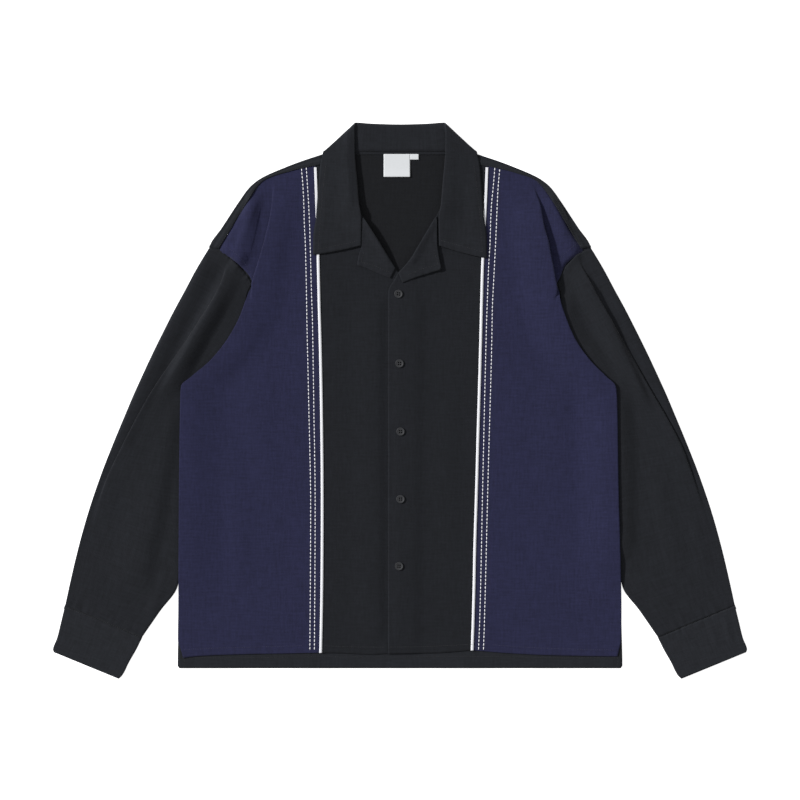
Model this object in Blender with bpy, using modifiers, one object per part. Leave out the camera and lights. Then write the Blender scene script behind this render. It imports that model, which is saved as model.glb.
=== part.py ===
"""A shirt jacket laid flat on its back: black centre, collar, sleeves and back, navy side fronts, white piping.

Sizes are millimetres. "out" is the distance outwards from the centre line, "up" runs from hem to collar,
and right and left are the wearer's: the wearer's right lies at -X, and the collar points to +Y.
"""

from collections import namedtuple
import math

import bmesh
import bpy

MM = 0.001

# Cloth and layers
WALL = 1.0                    # thickness of every cloth wall
GAP = 0.3                     # air between layers that lie on each other
LAYER = WALL + GAP            # from the middle of one layer to the middle of the next
FLOOR = WALL / 2              # middle of a wall that lies on the floor
ON_BACK = FLOOR + LAYER       # middle of a wall that lies on one layer
ON_FRONT = ON_BACK + LAYER    # middle of a wall that lies on two layers
RAISED = ON_FRONT + LAYER     # middle of a wall that lies on three layers
BEND = LAYER / 2              # radius of a flat fold, at the middle of the wall

# Driving sizes
NECK_UP = 341.5               # back neck seam
BACK_TOP_OUT = 102.0          # the back's top corner, hidden under the collar
UNDERLAP = -15.0              # edge of the right front, under the left one
OVERLAP_EDGE = -16.6          # edge of the left front, past the centre line
PIPING_WIDTH = 3.6
BUTTON_WIDTH = 11.4
BUTTON_DEPTH = 2.2
BUTTON_HOLE = 1.8
BUTTON_HOLES_APART = 3.1
BUTTONS = ((-2.1, 147.0), (-0.7, 51.1), (0.7, -42.8), (0.7, -135.9), (-1.4, -228.4))  # x and up of each
LABEL_LEFT, LABEL_RIGHT, LABEL_LOW, LABEL_HIGH = -22.5, 13.9, 308.4, 340.0
TAB_RIGHT, TAB_LOW = 25.8, 332.2
LABEL_WALL = 0.8

SIDES = {"right": -1, "left": 1}
BLACK = (0.018, 0.019, 0.022)
NAVY = (0.027, 0.025, 0.069)
WHITE = (0.82, 0.83, 0.86)
BUTTON_GREY = (0.04, 0.042, 0.046)

# The shoulder: its folded edge, and the seam where the back's strip ends on the front
Shoulder = namedtuple("Shoulder", "fold_out fold_up seam_out seam_up")
SHOULDER = (
    Shoulder(107.0, 340.0, 103.0, 326.5),
    Shoulder(138.0, 329.7, 135.0, 320.3),
    Shoulder(166.0, 318.8, 161.5, 313.6),
    Shoulder(180.2, 312.7, 175.0, 309.5),
    Shoulder(194.2, 305.2, 186.5, 304.5),
    Shoulder(208.0, 293.7, 196.0, 296.0),
    Shoulder(221.7, 275.1, 207.5, 279.0),
    Shoulder(242.4, 243.7, 227.2, 247.3),
    Shoulder(263.6, 211.8, 249.5, 209.5),
)

# The armhole, read by height: the sleeve's top layer and the back both end on it
Armhole = namedtuple("Armhole", "up right left")
ARMHOLE = (
    Armhole(207.0, 250.0, 254.5),
    Armhole(200.0, 239.0, 242.5),
    Armhole(185.0, 221.5, 228.8),
    Armhole(170.0, 208.3, 222.3),
    Armhole(160.0, 203.6, 216.8),
    Armhole(148.0, 209.8, 220.2),
    Armhole(135.0, 210.0, 218.5),
    Armhole(115.0, 217.0, 224.0),
    Armhole(85.0, 234.0, 237.5),
    Armhole(55.0, 258.0, 258.5),
    Armhole(34.0, 282.0, 278.0),
    Armhole(20.0, 299.0, 293.0),
)

# The back's side edges below the armhole
BackSide = namedtuple("BackSide", "up out lift")
BACK_SIDE = (
    BackSide(8.0, 297.0, 1.0),
    BackSide(-100.0, 300.0, 1.0),
    BackSide(-200.0, 303.0, 1.0),
    BackSide(-245.0, 304.3, 1.0),
    BackSide(-270.0, 304.8, 0.6),
    BackSide(-292.0, 305.2, 0.1),
    BackSide(-310.0, 305.6, 0.0),
    BackSide(-366.0, 306.8, 0.0),
    BackSide(-369.4, 304.5, 0.0),
)

# The seam between side front and centre front, which carries the piping
Seam = namedtuple("Seam", "up right left")
SEAM = (
    Seam(328.0, 117.0, 120.2),
    Seam(277.0, 115.2, 118.2),
    Seam(199.0, 113.0, 114.3),
    Seam(139.0, 111.7, 112.6),
    Seam(56.0, 109.5, 110.6),
    Seam(-54.0, 107.8, 107.4),
    Seam(-137.0, 107.2, 105.2),
    Seam(-192.0, 107.3, 103.4),
    Seam(-275.0, 108.0, 101.7),
    Seam(-350.0, 109.5, 99.3),
)

# The fronts' hem, read outwards
Hem = namedtuple("Hem", "out right left")
HEM = (
    Hem(-20.0, -348.9, -349.2),
    Hem(20.7, -349.1, -348.5),
    Hem(41.4, -350.5, -348.3),
    Hem(75.9, -348.4, -346.4),
    Hem(97.0, -348.0, -344.3),
    Hem(117.0, -347.9, -345.7),
    Hem(165.6, -349.1, -349.6),
    Hem(207.0, -349.8, -351.3),
    Hem(276.0, -352.3, -352.8),
    Hem(300.0, -355.3, -353.0),
)

# The side front, a row for each height: its outer edge, the fold of the body over the sleeve cap, how far
# the fold laps, how far it stands over the cap (step), and how high the outer part lies (lift)
SideRow = namedtuple("SideRow", "up edge_right edge_left fold_right fold_left lap step lift")
SIDE_FRONT = (
    SideRow(304.0, 188.0, 188.0, 174.5, 178.0, 0.0, 0.0, 0.0),
    SideRow(296.0, 197.0, 197.0, 175.0, 184.0, 0.0, 0.1, 0.1),
    SideRow(283.6, 205.5, 205.5, 176.0, 190.0, 0.0, 0.5, 0.5),
    SideRow(268.4, 215.0, 215.5, 177.5, 194.5, 0.0, 0.85, 0.85),
    SideRow(252.0, 225.0, 226.0, 180.0, 197.0, 0.0, 1.0, 1.0),
    SideRow(235.0, 235.5, 236.5, 184.0, 200.5, 4.0, 1.0, 1.0),
    SideRow(221.5, 243.0, 245.0, 187.3, 204.5, 6.0, 1.0, 1.0),
    SideRow(207.7, 248.4, 252.5, 191.3, 207.0, 8.0, 1.0, 1.0),
    SideRow(197.0, 234.3, 238.5, 194.3, 209.0, 9.0, 1.0, 1.0),
    SideRow(185.6, 220.5, 227.3, 197.8, 211.5, 10.0, 1.0, 1.0),
    SideRow(169.7, 206.5, 220.5, 202.8, 214.2, 9.0, 1.0, 1.0),
    SideRow(160.0, 202.9, 216.0, 205.3, 216.3, 6.0, 1.0, 1.0),
    SideRow(155.0, 205.4, 217.6, 205.2, 217.0, 3.0, 1.0, 1.0),
    SideRow(148.0, 209.3, 219.7, 206.2, 216.6, 0.0, 1.0, 1.0),
    SideRow(142.0, 211.3, 220.3, 206.0, 215.0, 0.0, 0.3, 1.0),
    SideRow(135.0, 213.9, 222.0, 203.9, 212.0, 0.0, 0.0, 1.0),
    SideRow(115.0, 221.4, 228.6, 211.4, 218.6, 0.0, 0.0, 1.0),
    SideRow(85.0, 237.8, 241.4, 227.8, 231.4, 0.0, 0.0, 1.0),
    SideRow(55.0, 262.0, 262.5, 252.0, 252.5, 0.0, 0.0, 1.0),
    SideRow(34.0, 286.5, 283.2, 276.5, 273.2, 0.0, 0.0, 1.0),
    SideRow(19.0, 302.0, 297.5, 292.0, 287.5, 0.0, 0.0, 1.0),
    SideRow(0.0, 302.9, 299.2, 292.9, 289.2, 0.0, 0.0, 1.0),
    SideRow(-120.0, 304.6, 301.2, 294.6, 291.2, 0.0, 0.0, 1.0),
    SideRow(-245.0, 305.4, 304.7, 295.4, 294.7, 0.0, 0.0, 1.0),
    SideRow(-270.0, 305.8, 305.3, 295.8, 295.3, 0.0, 0.0, 0.6),
    SideRow(-292.0, 306.0, 305.5, 296.0, 295.5, 0.0, 0.0, 0.1),
    SideRow(-330.0, 306.4, 305.0, 296.4, 295.0, 0.0, 0.0, 0.0),
    SideRow(-344.0, 302.2, 302.0, 292.2, 292.0, 0.0, 0.0, 0.0),
    SideRow(-354.0, 299.0, 300.0, 289.0, 290.0, 0.0, 0.0, 0.0),
)
LIFT = RAISED - ON_BACK       # how far the lifted parts rise over their plain height
LIFT_REACH = 55.0             # how far inwards from the fold the lift runs out

# The centre fronts' inner edges: button edge, lapel roll and neckline
Neckline = namedtuple("Neckline", "up right left")
NECKLINE = (
    Neckline(334.0, 70.0, 70.0),
    Neckline(305.0, 64.0, 64.0),
    Neckline(280.0, 62.0, 61.0),
    Neckline(262.0, 56.0, 54.0),
    Neckline(248.0, 47.5, 46.5),
    Neckline(230.5, 36.3, 35.8),
    Neckline(215.0, 26.6, 26.6),
    Neckline(199.5, 17.0, 17.2),
    Neckline(187.0, 9.0, 7.5),
    Neckline(177.0, 2.0, -2.0),
    Neckline(166.0, -13.0, -8.5),
    Neckline(156.0, -15.0, -14.5),
    Neckline(150.0, -15.0, -16.6),
    Neckline(80.0, -15.0, -16.6),
    Neckline(-20.0, -15.0, -16.6),
    Neckline(-120.0, -15.0, -16.6),
    Neckline(-220.0, -15.0, -16.6),
    Neckline(-300.0, -15.0, -16.6),
    Neckline(-350.0, -15.0, -16.6),
)

# The sleeve, a row for each section across it, from the armhole to the cuff seam: its outer folded edge, its
# inner one on either side, the pleat's distance from the outer edge, how far the pleat laps and stands, and how
# much the section still bends with the cap seam
Sleeve = namedtuple(
    "Sleeve",
    "outer_out outer_up inner_right inner_left inner_up pleat_right pleat_left lap step bend",
)
SLEEVE = (
    Sleeve(264.6, 208.8, 204.4, 217.0, 160.0, 34.0, 19.5, 0.0, 0.0, 1.0),
    Sleeve(273.0, 195.1, 210.6, 220.9, 147.0, 36.0, 23.3, 0.0, 0.6, 0.6),
    Sleeve(282.0, 179.8, 212.3, 221.5, 136.0, 38.5, 24.0, 0.0, 1.0, 0.3),
    Sleeve(296.0, 153.5, 219.5, 226.0, 112.0, 38.7, 24.4, 5.0, 1.0, 0.1),
    Sleeve(311.5, 125.0, 236.0, 240.0, 83.0, 36.7, 23.8, 9.0, 1.0, 0.0),
    Sleeve(327.5, 93.5, 254.0, 257.0, 60.0, 33.0, 22.7, 11.0, 1.0, 0.0),
    Sleeve(342.5, 63.0, 272.0, 271.0, 41.0, 28.8, 21.3, 11.0, 1.0, 0.0),
    Sleeve(356.0, 34.0, 288.0, 283.0, 26.5, 25.2, 20.0, 10.0, 1.0, 0.0),
    Sleeve(368.0, 7.5, 298.0, 297.0, 8.0, 22.0, 18.0, 9.0, 1.0, 0.0),
    Sleeve(380.0, -21.0, 298.0, 297.0, -25.0, 17.5, 13.0, 6.0, 1.0, 0.0),
    Sleeve(397.0, -62.0, 296.0, 296.0, -75.0, 13.1, 8.5, 2.0, 1.0, 0.0),
    Sleeve(413.4, -104.2, 294.0, 294.0, -130.0, 9.0, 8.5, 0.0, 0.8, 0.0),
    Sleeve(431.0, -156.5, 297.0, 297.0, -200.0, 8.5, 8.5, 0.0, 0.2, 0.0),
    Sleeve(444.8, -206.5, 306.4, 306.4, -256.0, 9.0, 9.0, 0.0, 0.0, 0.0),
    Sleeve(455.2, -250.5, 331.0, 331.0, -291.0, 9.0, 9.0, 0.0, 0.0, 0.0),
    Sleeve(462.0, -282.0, 355.6, 355.6, -326.6, 9.0, 9.0, 0.0, 0.0, 0.0),
)
PLEAT_RISE = RAISED - ON_BACK
PLEAT_REACH = 45.0            # how far inwards from the pleat its raised part runs out

# The cuff, a row for each section from its seam to its end
Cuff = namedtuple("Cuff", "outer_out outer_up inner_out inner_up")
CUFF = (
    Cuff(462.4, -282.9, 356.0, -327.8),
    Cuff(467.5, -304.0, 362.0, -340.5),
    Cuff(473.3, -327.5, 373.5, -361.0),
    Cuff(479.0, -343.6, 383.2, -379.6),
    Cuff(477.6, -347.2, 388.0, -384.0),
)

# The collar, a row for each section from its front end to the centre back: neck seam, roll and outer edge,
# how high it rolls, and how far it has turned from lying on the front to lying behind the back
Collar = namedtuple("Collar", "seam_out seam_up roll_out roll_up edge_out edge_up rise turn")
COLLAR = (
    Collar(60.0, 213.8, 54.0, 213.6, 120.2, 200.8, 0.05, 0.0),
    Collar(60.5, 232.0, 53.6, 232.0, 119.5, 228.0, 0.2, 0.0),
    Collar(61.0, 252.0, 53.4, 252.0, 116.0, 252.0, 0.5, 0.0),
    Collar(63.0, 270.0, 56.5, 270.0, 114.5, 272.0, 0.85, 0.0),
    Collar(66.0, 303.0, 59.3, 303.0, 112.0, 302.0, 1.0, 0.0),
    Collar(68.0, 325.0, 61.5, 326.0, 109.6, 327.0, 0.85, 0.0),
    Collar(69.0, 341.5, 62.8, 346.0, 106.0, 342.8, 0.8, 0.0),
    Collar(69.0, 342.4, 63.0, 363.0, 105.6, 343.6, 0.75, 0.05),
    Collar(69.0, 342.8, 62.8, 379.5, 105.0, 343.6, 0.55, 0.25),
    Collar(69.0, 343.0, 62.0, 383.0, 104.6, 343.4, 0.35, 0.6),
    Collar(68.5, 343.0, 60.0, 383.2, 102.0, 343.9, 0.15, 1.0),
    Collar(63.0, 343.2, 55.0, 383.0, 84.0, 344.5, 0.0, 1.0),
    Collar(50.0, 343.2, 46.5, 382.2, 58.0, 344.7, 0.0, 1.0),
    Collar(28.0, 343.2, 27.0, 381.2, 30.0, 345.4, 0.0, 1.0),
    Collar(0.0, 343.2, 0.0, 380.6, 0.0, 345.6, 0.0, 1.0),
)
LEFT_COLLAR_POINT_DROP = 5.0  # the left collar point lies this much lower
COLLAR_BOW = 1.2              # how far the collar's front end bows outwards

# The collar's cross-section: share of the way from the roll to the neck seam (stand, negative) or to the
# outer edge (fall, positive), and the wall's height in front and behind
CollarPoint = namedtuple("CollarPoint", "along front back")
COLLAR_SECTION = (
    CollarPoint(-1.0, 3.1, 1.8),
    CollarPoint(-0.5, 5.6, 2.2),
    CollarPoint(-0.12, 8.2, 2.6),
    CollarPoint(0.0, 9.2, 1.7),
    CollarPoint(0.05, 9.3, 0.75),
    CollarPoint(0.2, 8.4, 0.5),
    CollarPoint(0.4, 6.6, 0.5),
    CollarPoint(0.7, 5.0, 0.5),
    CollarPoint(1.0, 4.4, 0.5),
)

# The turned-out lapels: their roll and their free edge
Lapel = namedtuple("Lapel", "roll_out roll_up edge_out edge_up")
LAPELS = {
    "right": (
        Lapel(51.0, 252.5, 52.3, 247.5),
        Lapel(46.5, 246.5, 52.6, 232.0),
        Lapel(41.0, 238.0, 52.8, 214.5),
        Lapel(35.6, 229.7, 56.5, 202.0),
        Lapel(26.0, 214.2, 58.9, 188.0),
        Lapel(17.0, 199.6, 47.0, 182.6),
        Lapel(11.0, 189.8, 30.0, 175.6),
        Lapel(6.5, 182.5, 13.0, 168.6),
    ),
    "left": (
        Lapel(49.4, 253.5, 50.6, 248.0),
        Lapel(45.0, 246.5, 50.8, 233.0),
        Lapel(39.8, 238.0, 51.2, 216.0),
        Lapel(33.0, 226.6, 53.5, 199.0),
        Lapel(24.0, 211.5, 57.0, 182.0),
        Lapel(15.0, 196.5, 45.0, 177.0),
        Lapel(6.0, 185.0, 24.0, 170.5),
        Lapel(-2.0, 175.5, 3.5, 162.5),
    ),
}
LAPEL_ROLL_RISE = 2.2
LAPEL_ROLL_REACH = 14.0


def soft_step(t):
    t = min(max(t, 0.0), 1.0)
    return t * t * (3 - 2 * t)


def mix(a, b, t):
    return a + (b - a) * t


def slopes(xs, ys):
    """Slopes of a smooth curve through the points that never overshoots them."""
    runs = [(ys[i + 1] - ys[i]) / (xs[i + 1] - xs[i]) for i in range(len(xs) - 1)]
    inner = [
        0.0 if a * b <= 0 else 2 * a * b / (a + b)
        for a, b in zip(runs[:-1], runs[1:])
    ]
    return [runs[0]] + inner + [runs[-1]]


def follow(rows, key, value, at):
    """The column called value, read smoothly at a place along the column called key."""
    pairs = sorted((getattr(row, key), getattr(row, value)) for row in rows)
    xs = [pair[0] for pair in pairs]
    ys = [pair[1] for pair in pairs]
    if at <= xs[0]:
        return ys[0]
    if at >= xs[-1]:
        return ys[-1]
    bends = slopes(xs, ys)
    i = max(i for i in range(len(xs) - 1) if xs[i] <= at)
    run = xs[i + 1] - xs[i]
    t = (at - xs[i]) / run
    return (
        ys[i] * (1 + 2 * t) * (1 - t) ** 2
        + ys[i + 1] * t * t * (3 - 2 * t)
        + bends[i] * run * t * (1 - t) ** 2
        - bends[i + 1] * run * t * t * (1 - t)
    )


def fold_points(fold, lap, step, top, low):
    """A flat fold in a section: it runs outwards, back under itself by lap, and outwards again.

    With step 0 the cloth lies flat; with step 1 it drops from top to low at the fold.
    """
    middle = (top + low) / 2
    flat = (-6.0, -4.0, -2.5, -1.0, 0.5, 2.0, 3.5)
    folded = (
        (-5.0, top),
        (-BEND - WALL / 2, top),
        (-WALL / 2, (top + middle) / 2),
        (-0.9 - lap / 2, middle),
        (-BEND * 2 - lap, (middle + low) / 2),
        (-BEND - lap, low),
        (3.0 - BEND - lap, low),
    )
    return [(fold + mix(a, b, step), z) for a, (b, z) in zip(flat, folded)]


# Building -------------------------------------------------------------------------------------------------


def clear_scene():
    for thing in list(bpy.data.objects):
        bpy.data.objects.remove(thing, do_unlink=True)


def finish(name, colour, roughness):
    made = bpy.data.materials.new(name)
    made.use_nodes = True
    shader = made.node_tree.nodes["Principled BSDF"]
    shader.inputs["Base Color"].default_value = (*colour, 1.0)
    shader.inputs["Roughness"].default_value = roughness
    shader.inputs["Metallic"].default_value = 0.0
    return made


def add_object(name, bm, colour, roughness=0.9):
    mesh = bpy.data.meshes.new(name)
    bm.to_mesh(mesh)
    bm.free()
    made = bpy.data.objects.new(name, mesh)
    mesh.materials.append(finish(name, colour, roughness))
    bpy.data.collections["shirt_jacket"].objects.link(made)
    return made


def lay_grid(bm, rows):
    """A grid whose crossings take the places in rows, each (x, y, z) in millimetres."""
    across, along = len(rows[0]) - 1, len(rows) - 1
    made = bmesh.ops.create_grid(bm, x_segments=across, y_segments=along, size=0.5)
    for vert in made["verts"]:
        i = round((vert.co.x + 0.5) * across)
        j = round((vert.co.y + 0.5) * along)
        vert.co = [value * MM for value in rows[j][i]]


def cloth(name, grids, colour, wall=WALL):
    """Cloth through one or more grids that share their edges, given its thickness."""
    bm = bmesh.new()
    for rows in grids:
        lay_grid(bm, rows)
    bmesh.ops.remove_doubles(bm, verts=bm.verts, dist=1e-6)
    bmesh.ops.recalc_face_normals(bm, faces=bm.faces)
    made = add_object(name, bm, colour)
    thick = made.modifiers.new("wall", "SOLIDIFY")
    thick.thickness = wall * MM
    thick.offset = 0.0
    thick.use_rim = True
    return made


def shoulder_points(row):
    """The shoulder strip's section: floor layer, folded edge, and on to the seam over the front."""
    reach_out, reach_up = row.fold_out - row.seam_out, row.fold_up - row.seam_up
    length = math.hypot(reach_out, reach_up)
    away_out, away_up = reach_out / length, reach_up / length
    start = BEND + WALL / 2
    marks = (
        (start, FLOOR),
        (WALL / 2, FLOOR + BEND),
        (start, ON_BACK),
        (mix(start, length, 0.3), ON_BACK),
        (mix(start, length, 0.64), ON_FRONT),
        (length, ON_FRONT),
    )
    return [(row.fold_out - away_out * back, row.fold_up - away_up * back, z) for back, z in marks]


def make_back():
    across = (0.0, 0.3, 0.55, 0.72, 0.82, 0.89, 0.95, 1.0)
    strips = [shoulder_points(row) for row in SHOULDER]

    def lift(out_share, amount):
        return LIFT * amount * soft_step((out_share - 0.82) / 0.13)

    def row_points(right, left, up, amount):
        points = []
        for share in reversed(across[1:]):
            points.append((-right[0] * share, mix(up, right[1], share), FLOOR + lift(share, amount)))
        for share in across:
            points.append((left[0] * share, mix(up, left[1], share), FLOOR + lift(share, amount)))
        return points

    rows = []
    for row in reversed(BACK_SIDE):
        rows.append(row_points((row.out, row.up), (row.out, row.up), row.up, row.lift))
    for row in reversed(ARMHOLE):
        amount = soft_step((90.0 - row.up) / 35.0)
        ends = [(getattr(row, side) - 1.2, row.up) for side in SIDES]
        rows.append(row_points(ends[0], ends[1], row.up, amount))
    for strip in reversed(strips):
        out, up, _ = strip[0]
        rows.append(row_points((out, up), (out, up), up, 0.0))
    rows.append(row_points((BACK_TOP_OUT, NECK_UP), (BACK_TOP_OUT, NECK_UP), NECK_UP, 0.0))
    grids = [rows]
    for side in SIDES.values():
        grids.append([[(side * out, up, z) for out, up, z in strip] for strip in strips])
    return cloth("back", grids, BLACK)


def front_up(out, up):
    """Rows near the shoulder follow its slanting seam; lower rows run level."""
    slant = follow(SHOULDER, "seam_out", "seam_up", min(out, 189.0)) - 303.4
    return up + slant * soft_step((up - 255.0) / 49.0)


def make_side_front(side):
    inward = (0.0, 0.3, 0.55, 0.74, 0.88)
    rows = []
    for row in SIDE_FRONT:
        seam = follow(SEAM, "up", side, front_up(118.0, row.up)) + GAP / 2
        fold = getattr(row, "fold_" + side)
        edge = getattr(row, "edge_" + side)
        top = ON_BACK + LIFT * row.lift
        low = top - LIFT * row.step
        points = []
        for share in inward:
            out = mix(seam, fold - 8.0, share)
            z = ON_BACK + LIFT * row.lift * soft_step((out - fold + LIFT_REACH) / (LIFT_REACH - 8.0))
            points.append((out, z))
        bend = fold_points(fold, row.lap, row.step, top, low)
        points += bend
        for share in (0.5, 1.0):
            points.append((mix(bend[-1][0], edge, share), low))
        hem = row is SIDE_FRONT[-1]
        rows.append([
            (
                SIDES[side] * out,
                follow(HEM, "out", side, out) if hem else front_up(out, row.up),
                z,
            )
            for out, z in points
        ])
    return cloth("side_front_" + side, [rows], NAVY)


def centre_height(side, out, up):
    """Middle of the centre front: the left one steps up over the right one, and both rise at the lapel roll."""
    z = ON_BACK
    if side == "left":
        z += LAYER * (1.0 - soft_step((out - 17.0) / 14.0))
    if up > 176.0:
        roll = follow(NECKLINE, "up", side, up)
        near = 1.0 - soft_step((out - roll) / LAPEL_ROLL_REACH)
        fades = soft_step((out - 8.0) / 15.0) * soft_step((262.0 - up) / 14.0)
        z += LAPEL_ROLL_RISE * near * fades
    return z


def make_centre_front(side):
    shares = (0.0, 0.08, 0.17, 0.28, 0.42, 0.6, 0.8, 1.0)
    rows = []
    for row in NECKLINE:
        inner = getattr(row, side)
        seam = follow(SEAM, "up", side, row.up) - GAP / 2
        hem = row is NECKLINE[-1]
        points = []
        for share in shares:
            out = mix(inner, seam, share)
            up = follow(HEM, "out", side, out) if hem else row.up
            if row is NECKLINE[0]:
                up = mix(row.up, 325.0, share)
            points.append((SIDES[side] * out, up, centre_height(side, out, row.up)))
        rows.append(points)
    return cloth("centre_front_" + side, [rows], BLACK)


def make_piping(side):
    top, bottom = 321.5, follow(HEM, "out", side, 105.0)
    rows = []
    count = 14
    for i in range(count + 1):
        up = mix(top, bottom, i / count)
        middle = follow(SEAM, "up", side, up)
        half = PIPING_WIDTH / 2
        rows.append([(SIDES[side] * (middle + share * half), up, ON_FRONT) for share in (-1.0, 0.0, 1.0)])
    return cloth("piping_" + side, [rows], WHITE)


def cap_seam(side):
    """The sleeve's top seam, from the crease's lower end up to the shoulder end."""
    rows = [row for row in reversed(ARMHOLE) if row.up >= SLEEVE[0].inner_up]
    return [(getattr(row, side), row.up) for row in rows] + [(SLEEVE[0].outer_out, SLEEVE[0].outer_up)]


def on_curve(points, share):
    """The place at a share of the length of a line of points, and that length."""
    marks = [0.0]
    for (a, b), (c, d) in zip(points[:-1], points[1:]):
        marks.append(marks[-1] + math.hypot(c - a, d - b))
    reach = share * marks[-1]
    i = max(i for i in range(len(points) - 1) if marks[i] <= reach)
    t = (reach - marks[i]) / (marks[i + 1] - marks[i])
    return mix(points[i][0], points[i + 1][0], t), mix(points[i][1], points[i + 1][1], t), marks[-1]


def sleeve_ring(side, row):
    """One closed section round the flattened sleeve."""
    curve = cap_seam(side)
    inner, outer = (getattr(row, "inner_" + side), row.inner_up), (row.outer_out, row.outer_up)
    straight = math.hypot(outer[0] - inner[0], outer[1] - inner[1])
    length = mix(straight, on_curve(curve, 0.0)[2], row.bend)

    def spot(share):
        out, up = mix(inner[0], outer[0], share), mix(inner[1], outer[1], share)
        bent = on_curve(curve, share)
        out += row.bend * (bent[0] - mix(curve[0][0], curve[-1][0], share))
        up += row.bend * (bent[1] - mix(curve[0][1], curve[-1][1], share))
        return out, up

    pleat = length - getattr(row, "pleat_" + side)
    top = ON_BACK + PLEAT_RISE * row.step
    turn = BEND + WALL / 2
    upper = []
    for share in (0.0, 0.2, 0.4, 0.6, 0.78, 0.9):
        reach = mix(turn, pleat - 8.0, share)
        z = ON_BACK + PLEAT_RISE * row.step * soft_step((reach - pleat + PLEAT_REACH) / (PLEAT_REACH - 8.0))
        upper.append((reach, z))
    bend = fold_points(pleat, row.lap, row.step, top, ON_BACK)
    upper += bend
    upper.append((mix(bend[-1][0], length - turn, 0.5), ON_BACK))
    upper.append((length - turn, ON_BACK))
    ring = upper + [(length - WALL / 2, FLOOR + BEND)]
    for i in range(9):
        ring.append((mix(length - turn, turn, i / 8), FLOOR))
    ring.append((WALL / 2, FLOOR + BEND))
    ring.append(ring[0])
    placed = []
    for reach, z in ring:
        out, up = spot(reach / length)
        placed.append((SIDES[side] * out, up, z))
    return placed


def make_sleeve(side):
    rings = [sleeve_ring(side, row) for row in SLEEVE]
    return cloth("sleeve_" + side, [rings], BLACK)


def make_cuff(side):
    turn = BEND + WALL / 2
    rings = []
    for row in CUFF:
        length = math.hypot(row.outer_out - row.inner_out, row.outer_up - row.inner_up)
        marks = [(mix(turn, length - turn, i / 5), ON_BACK) for i in range(6)]
        marks += [(length - WALL / 2, FLOOR + BEND)]
        marks += [(mix(length - turn, turn, i / 5), FLOOR) for i in range(6)]
        marks += [(WALL / 2, FLOOR + BEND), marks[0]]
        rings.append([
            (
                SIDES[side] * mix(row.inner_out, row.outer_out, reach / length),
                mix(row.inner_up, row.outer_up, reach / length),
                z,
            )
            for reach, z in marks
        ])
    return cloth("cuff_" + side, [rings], BLACK)


def collar_row(row, side, first):
    """One section of the collar: up the stand from the neck seam, over the roll and down to the outer edge."""
    drop = LEFT_COLLAR_POINT_DROP if first and side == "left" else 0.0
    bow = COLLAR_BOW if first else 0.0
    points = []
    for mark in COLLAR_SECTION:
        along = abs(mark.along)
        if mark.along < 0:
            flat, end_out, end_up = ON_FRONT, row.seam_out, row.seam_up
        else:
            flat, end_out, end_up = RAISED, row.edge_out, row.edge_up - drop
        out, up = mix(row.roll_out, end_out, along), mix(row.roll_up, end_up, along)
        if mark.along > 0:
            up -= bow * math.sin(math.pi * along)
        points.append((SIDES[side] * out, up, mix(mix(flat, mark.front, row.rise), mark.back, row.turn)))
    return points


def make_collar():
    right = [collar_row(row, "right", row is COLLAR[0]) for row in COLLAR]
    left = [collar_row(row, "left", row is COLLAR[0]) for row in COLLAR[:-1]]
    return cloth("collar", [right + left[::-1]], BLACK)


def make_facing(side):
    rows = []
    for row in LAPELS[side]:
        points = []
        for share in (0.0, 0.12, 0.3, 0.55, 0.8, 1.0):
            out, up = mix(row.roll_out, row.edge_out, share), mix(row.roll_up, row.edge_up, share)
            z = centre_height(side, out, up) + LAYER + GAP * (1.0 - share)
            points.append((SIDES[side] * out, up, z))
        rows.append(points)
    return cloth("facing_" + side, [rows], BLACK)


def make_label(name, x0, x1, y0, y1):
    z = WALL + GAP + LABEL_WALL / 2
    rows = [[(x, y, z) for x in (x0, x1)] for y in (y0, y1)]
    return cloth(name, [rows], WHITE, LABEL_WALL)


def make_button(name, x, up):
    """A round four-hole button with a raised rim."""
    low = ON_FRONT + WALL / 2 + GAP
    middle = low + BUTTON_DEPTH / 2
    bm = bmesh.new()
    bmesh.ops.create_cone(
        bm,
        cap_ends=True,
        segments=16,
        radius1=BUTTON_WIDTH / 2 * MM,
        radius2=BUTTON_WIDTH / 2 * MM,
        depth=BUTTON_DEPTH * MM,
    )
    top = max(bm.faces, key=lambda face: face.calc_center_median().z)
    bmesh.ops.inset_region(bm, faces=[top], thickness=1.3 * MM, depth=0.0)
    bmesh.ops.inset_region(bm, faces=[top], thickness=0.4 * MM, depth=-0.5 * MM)
    made = add_object(name, bm, BUTTON_GREY, 0.45)
    made.location = (x * MM, up * MM, middle * MM)
    for turn in range(4):
        angle = math.pi / 4 + turn * math.pi / 2
        reach = BUTTON_HOLES_APART / 2 * math.sqrt(2)
        drill = bmesh.new()
        bmesh.ops.create_cone(
            drill,
            cap_ends=True,
            segments=6,
            radius1=BUTTON_HOLE / 2 * MM,
            radius2=BUTTON_HOLE / 2 * MM,
            depth=BUTTON_DEPTH * 3 * MM,
        )
        mesh = bpy.data.meshes.new("drill")
        drill.to_mesh(mesh)
        drill.free()
        cutter = bpy.data.objects.new("drill", mesh)
        cutter.location = (
            (x + reach * math.cos(angle)) * MM,
            (up + reach * math.sin(angle)) * MM,
            middle * MM,
        )
        cutter.hide_render = True
        cutter.display_type = "WIRE"
        bpy.data.collections["cutters"].objects.link(cutter)
        hole = made.modifiers.new("hole", "BOOLEAN")
        hole.object = cutter
    return made


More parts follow.
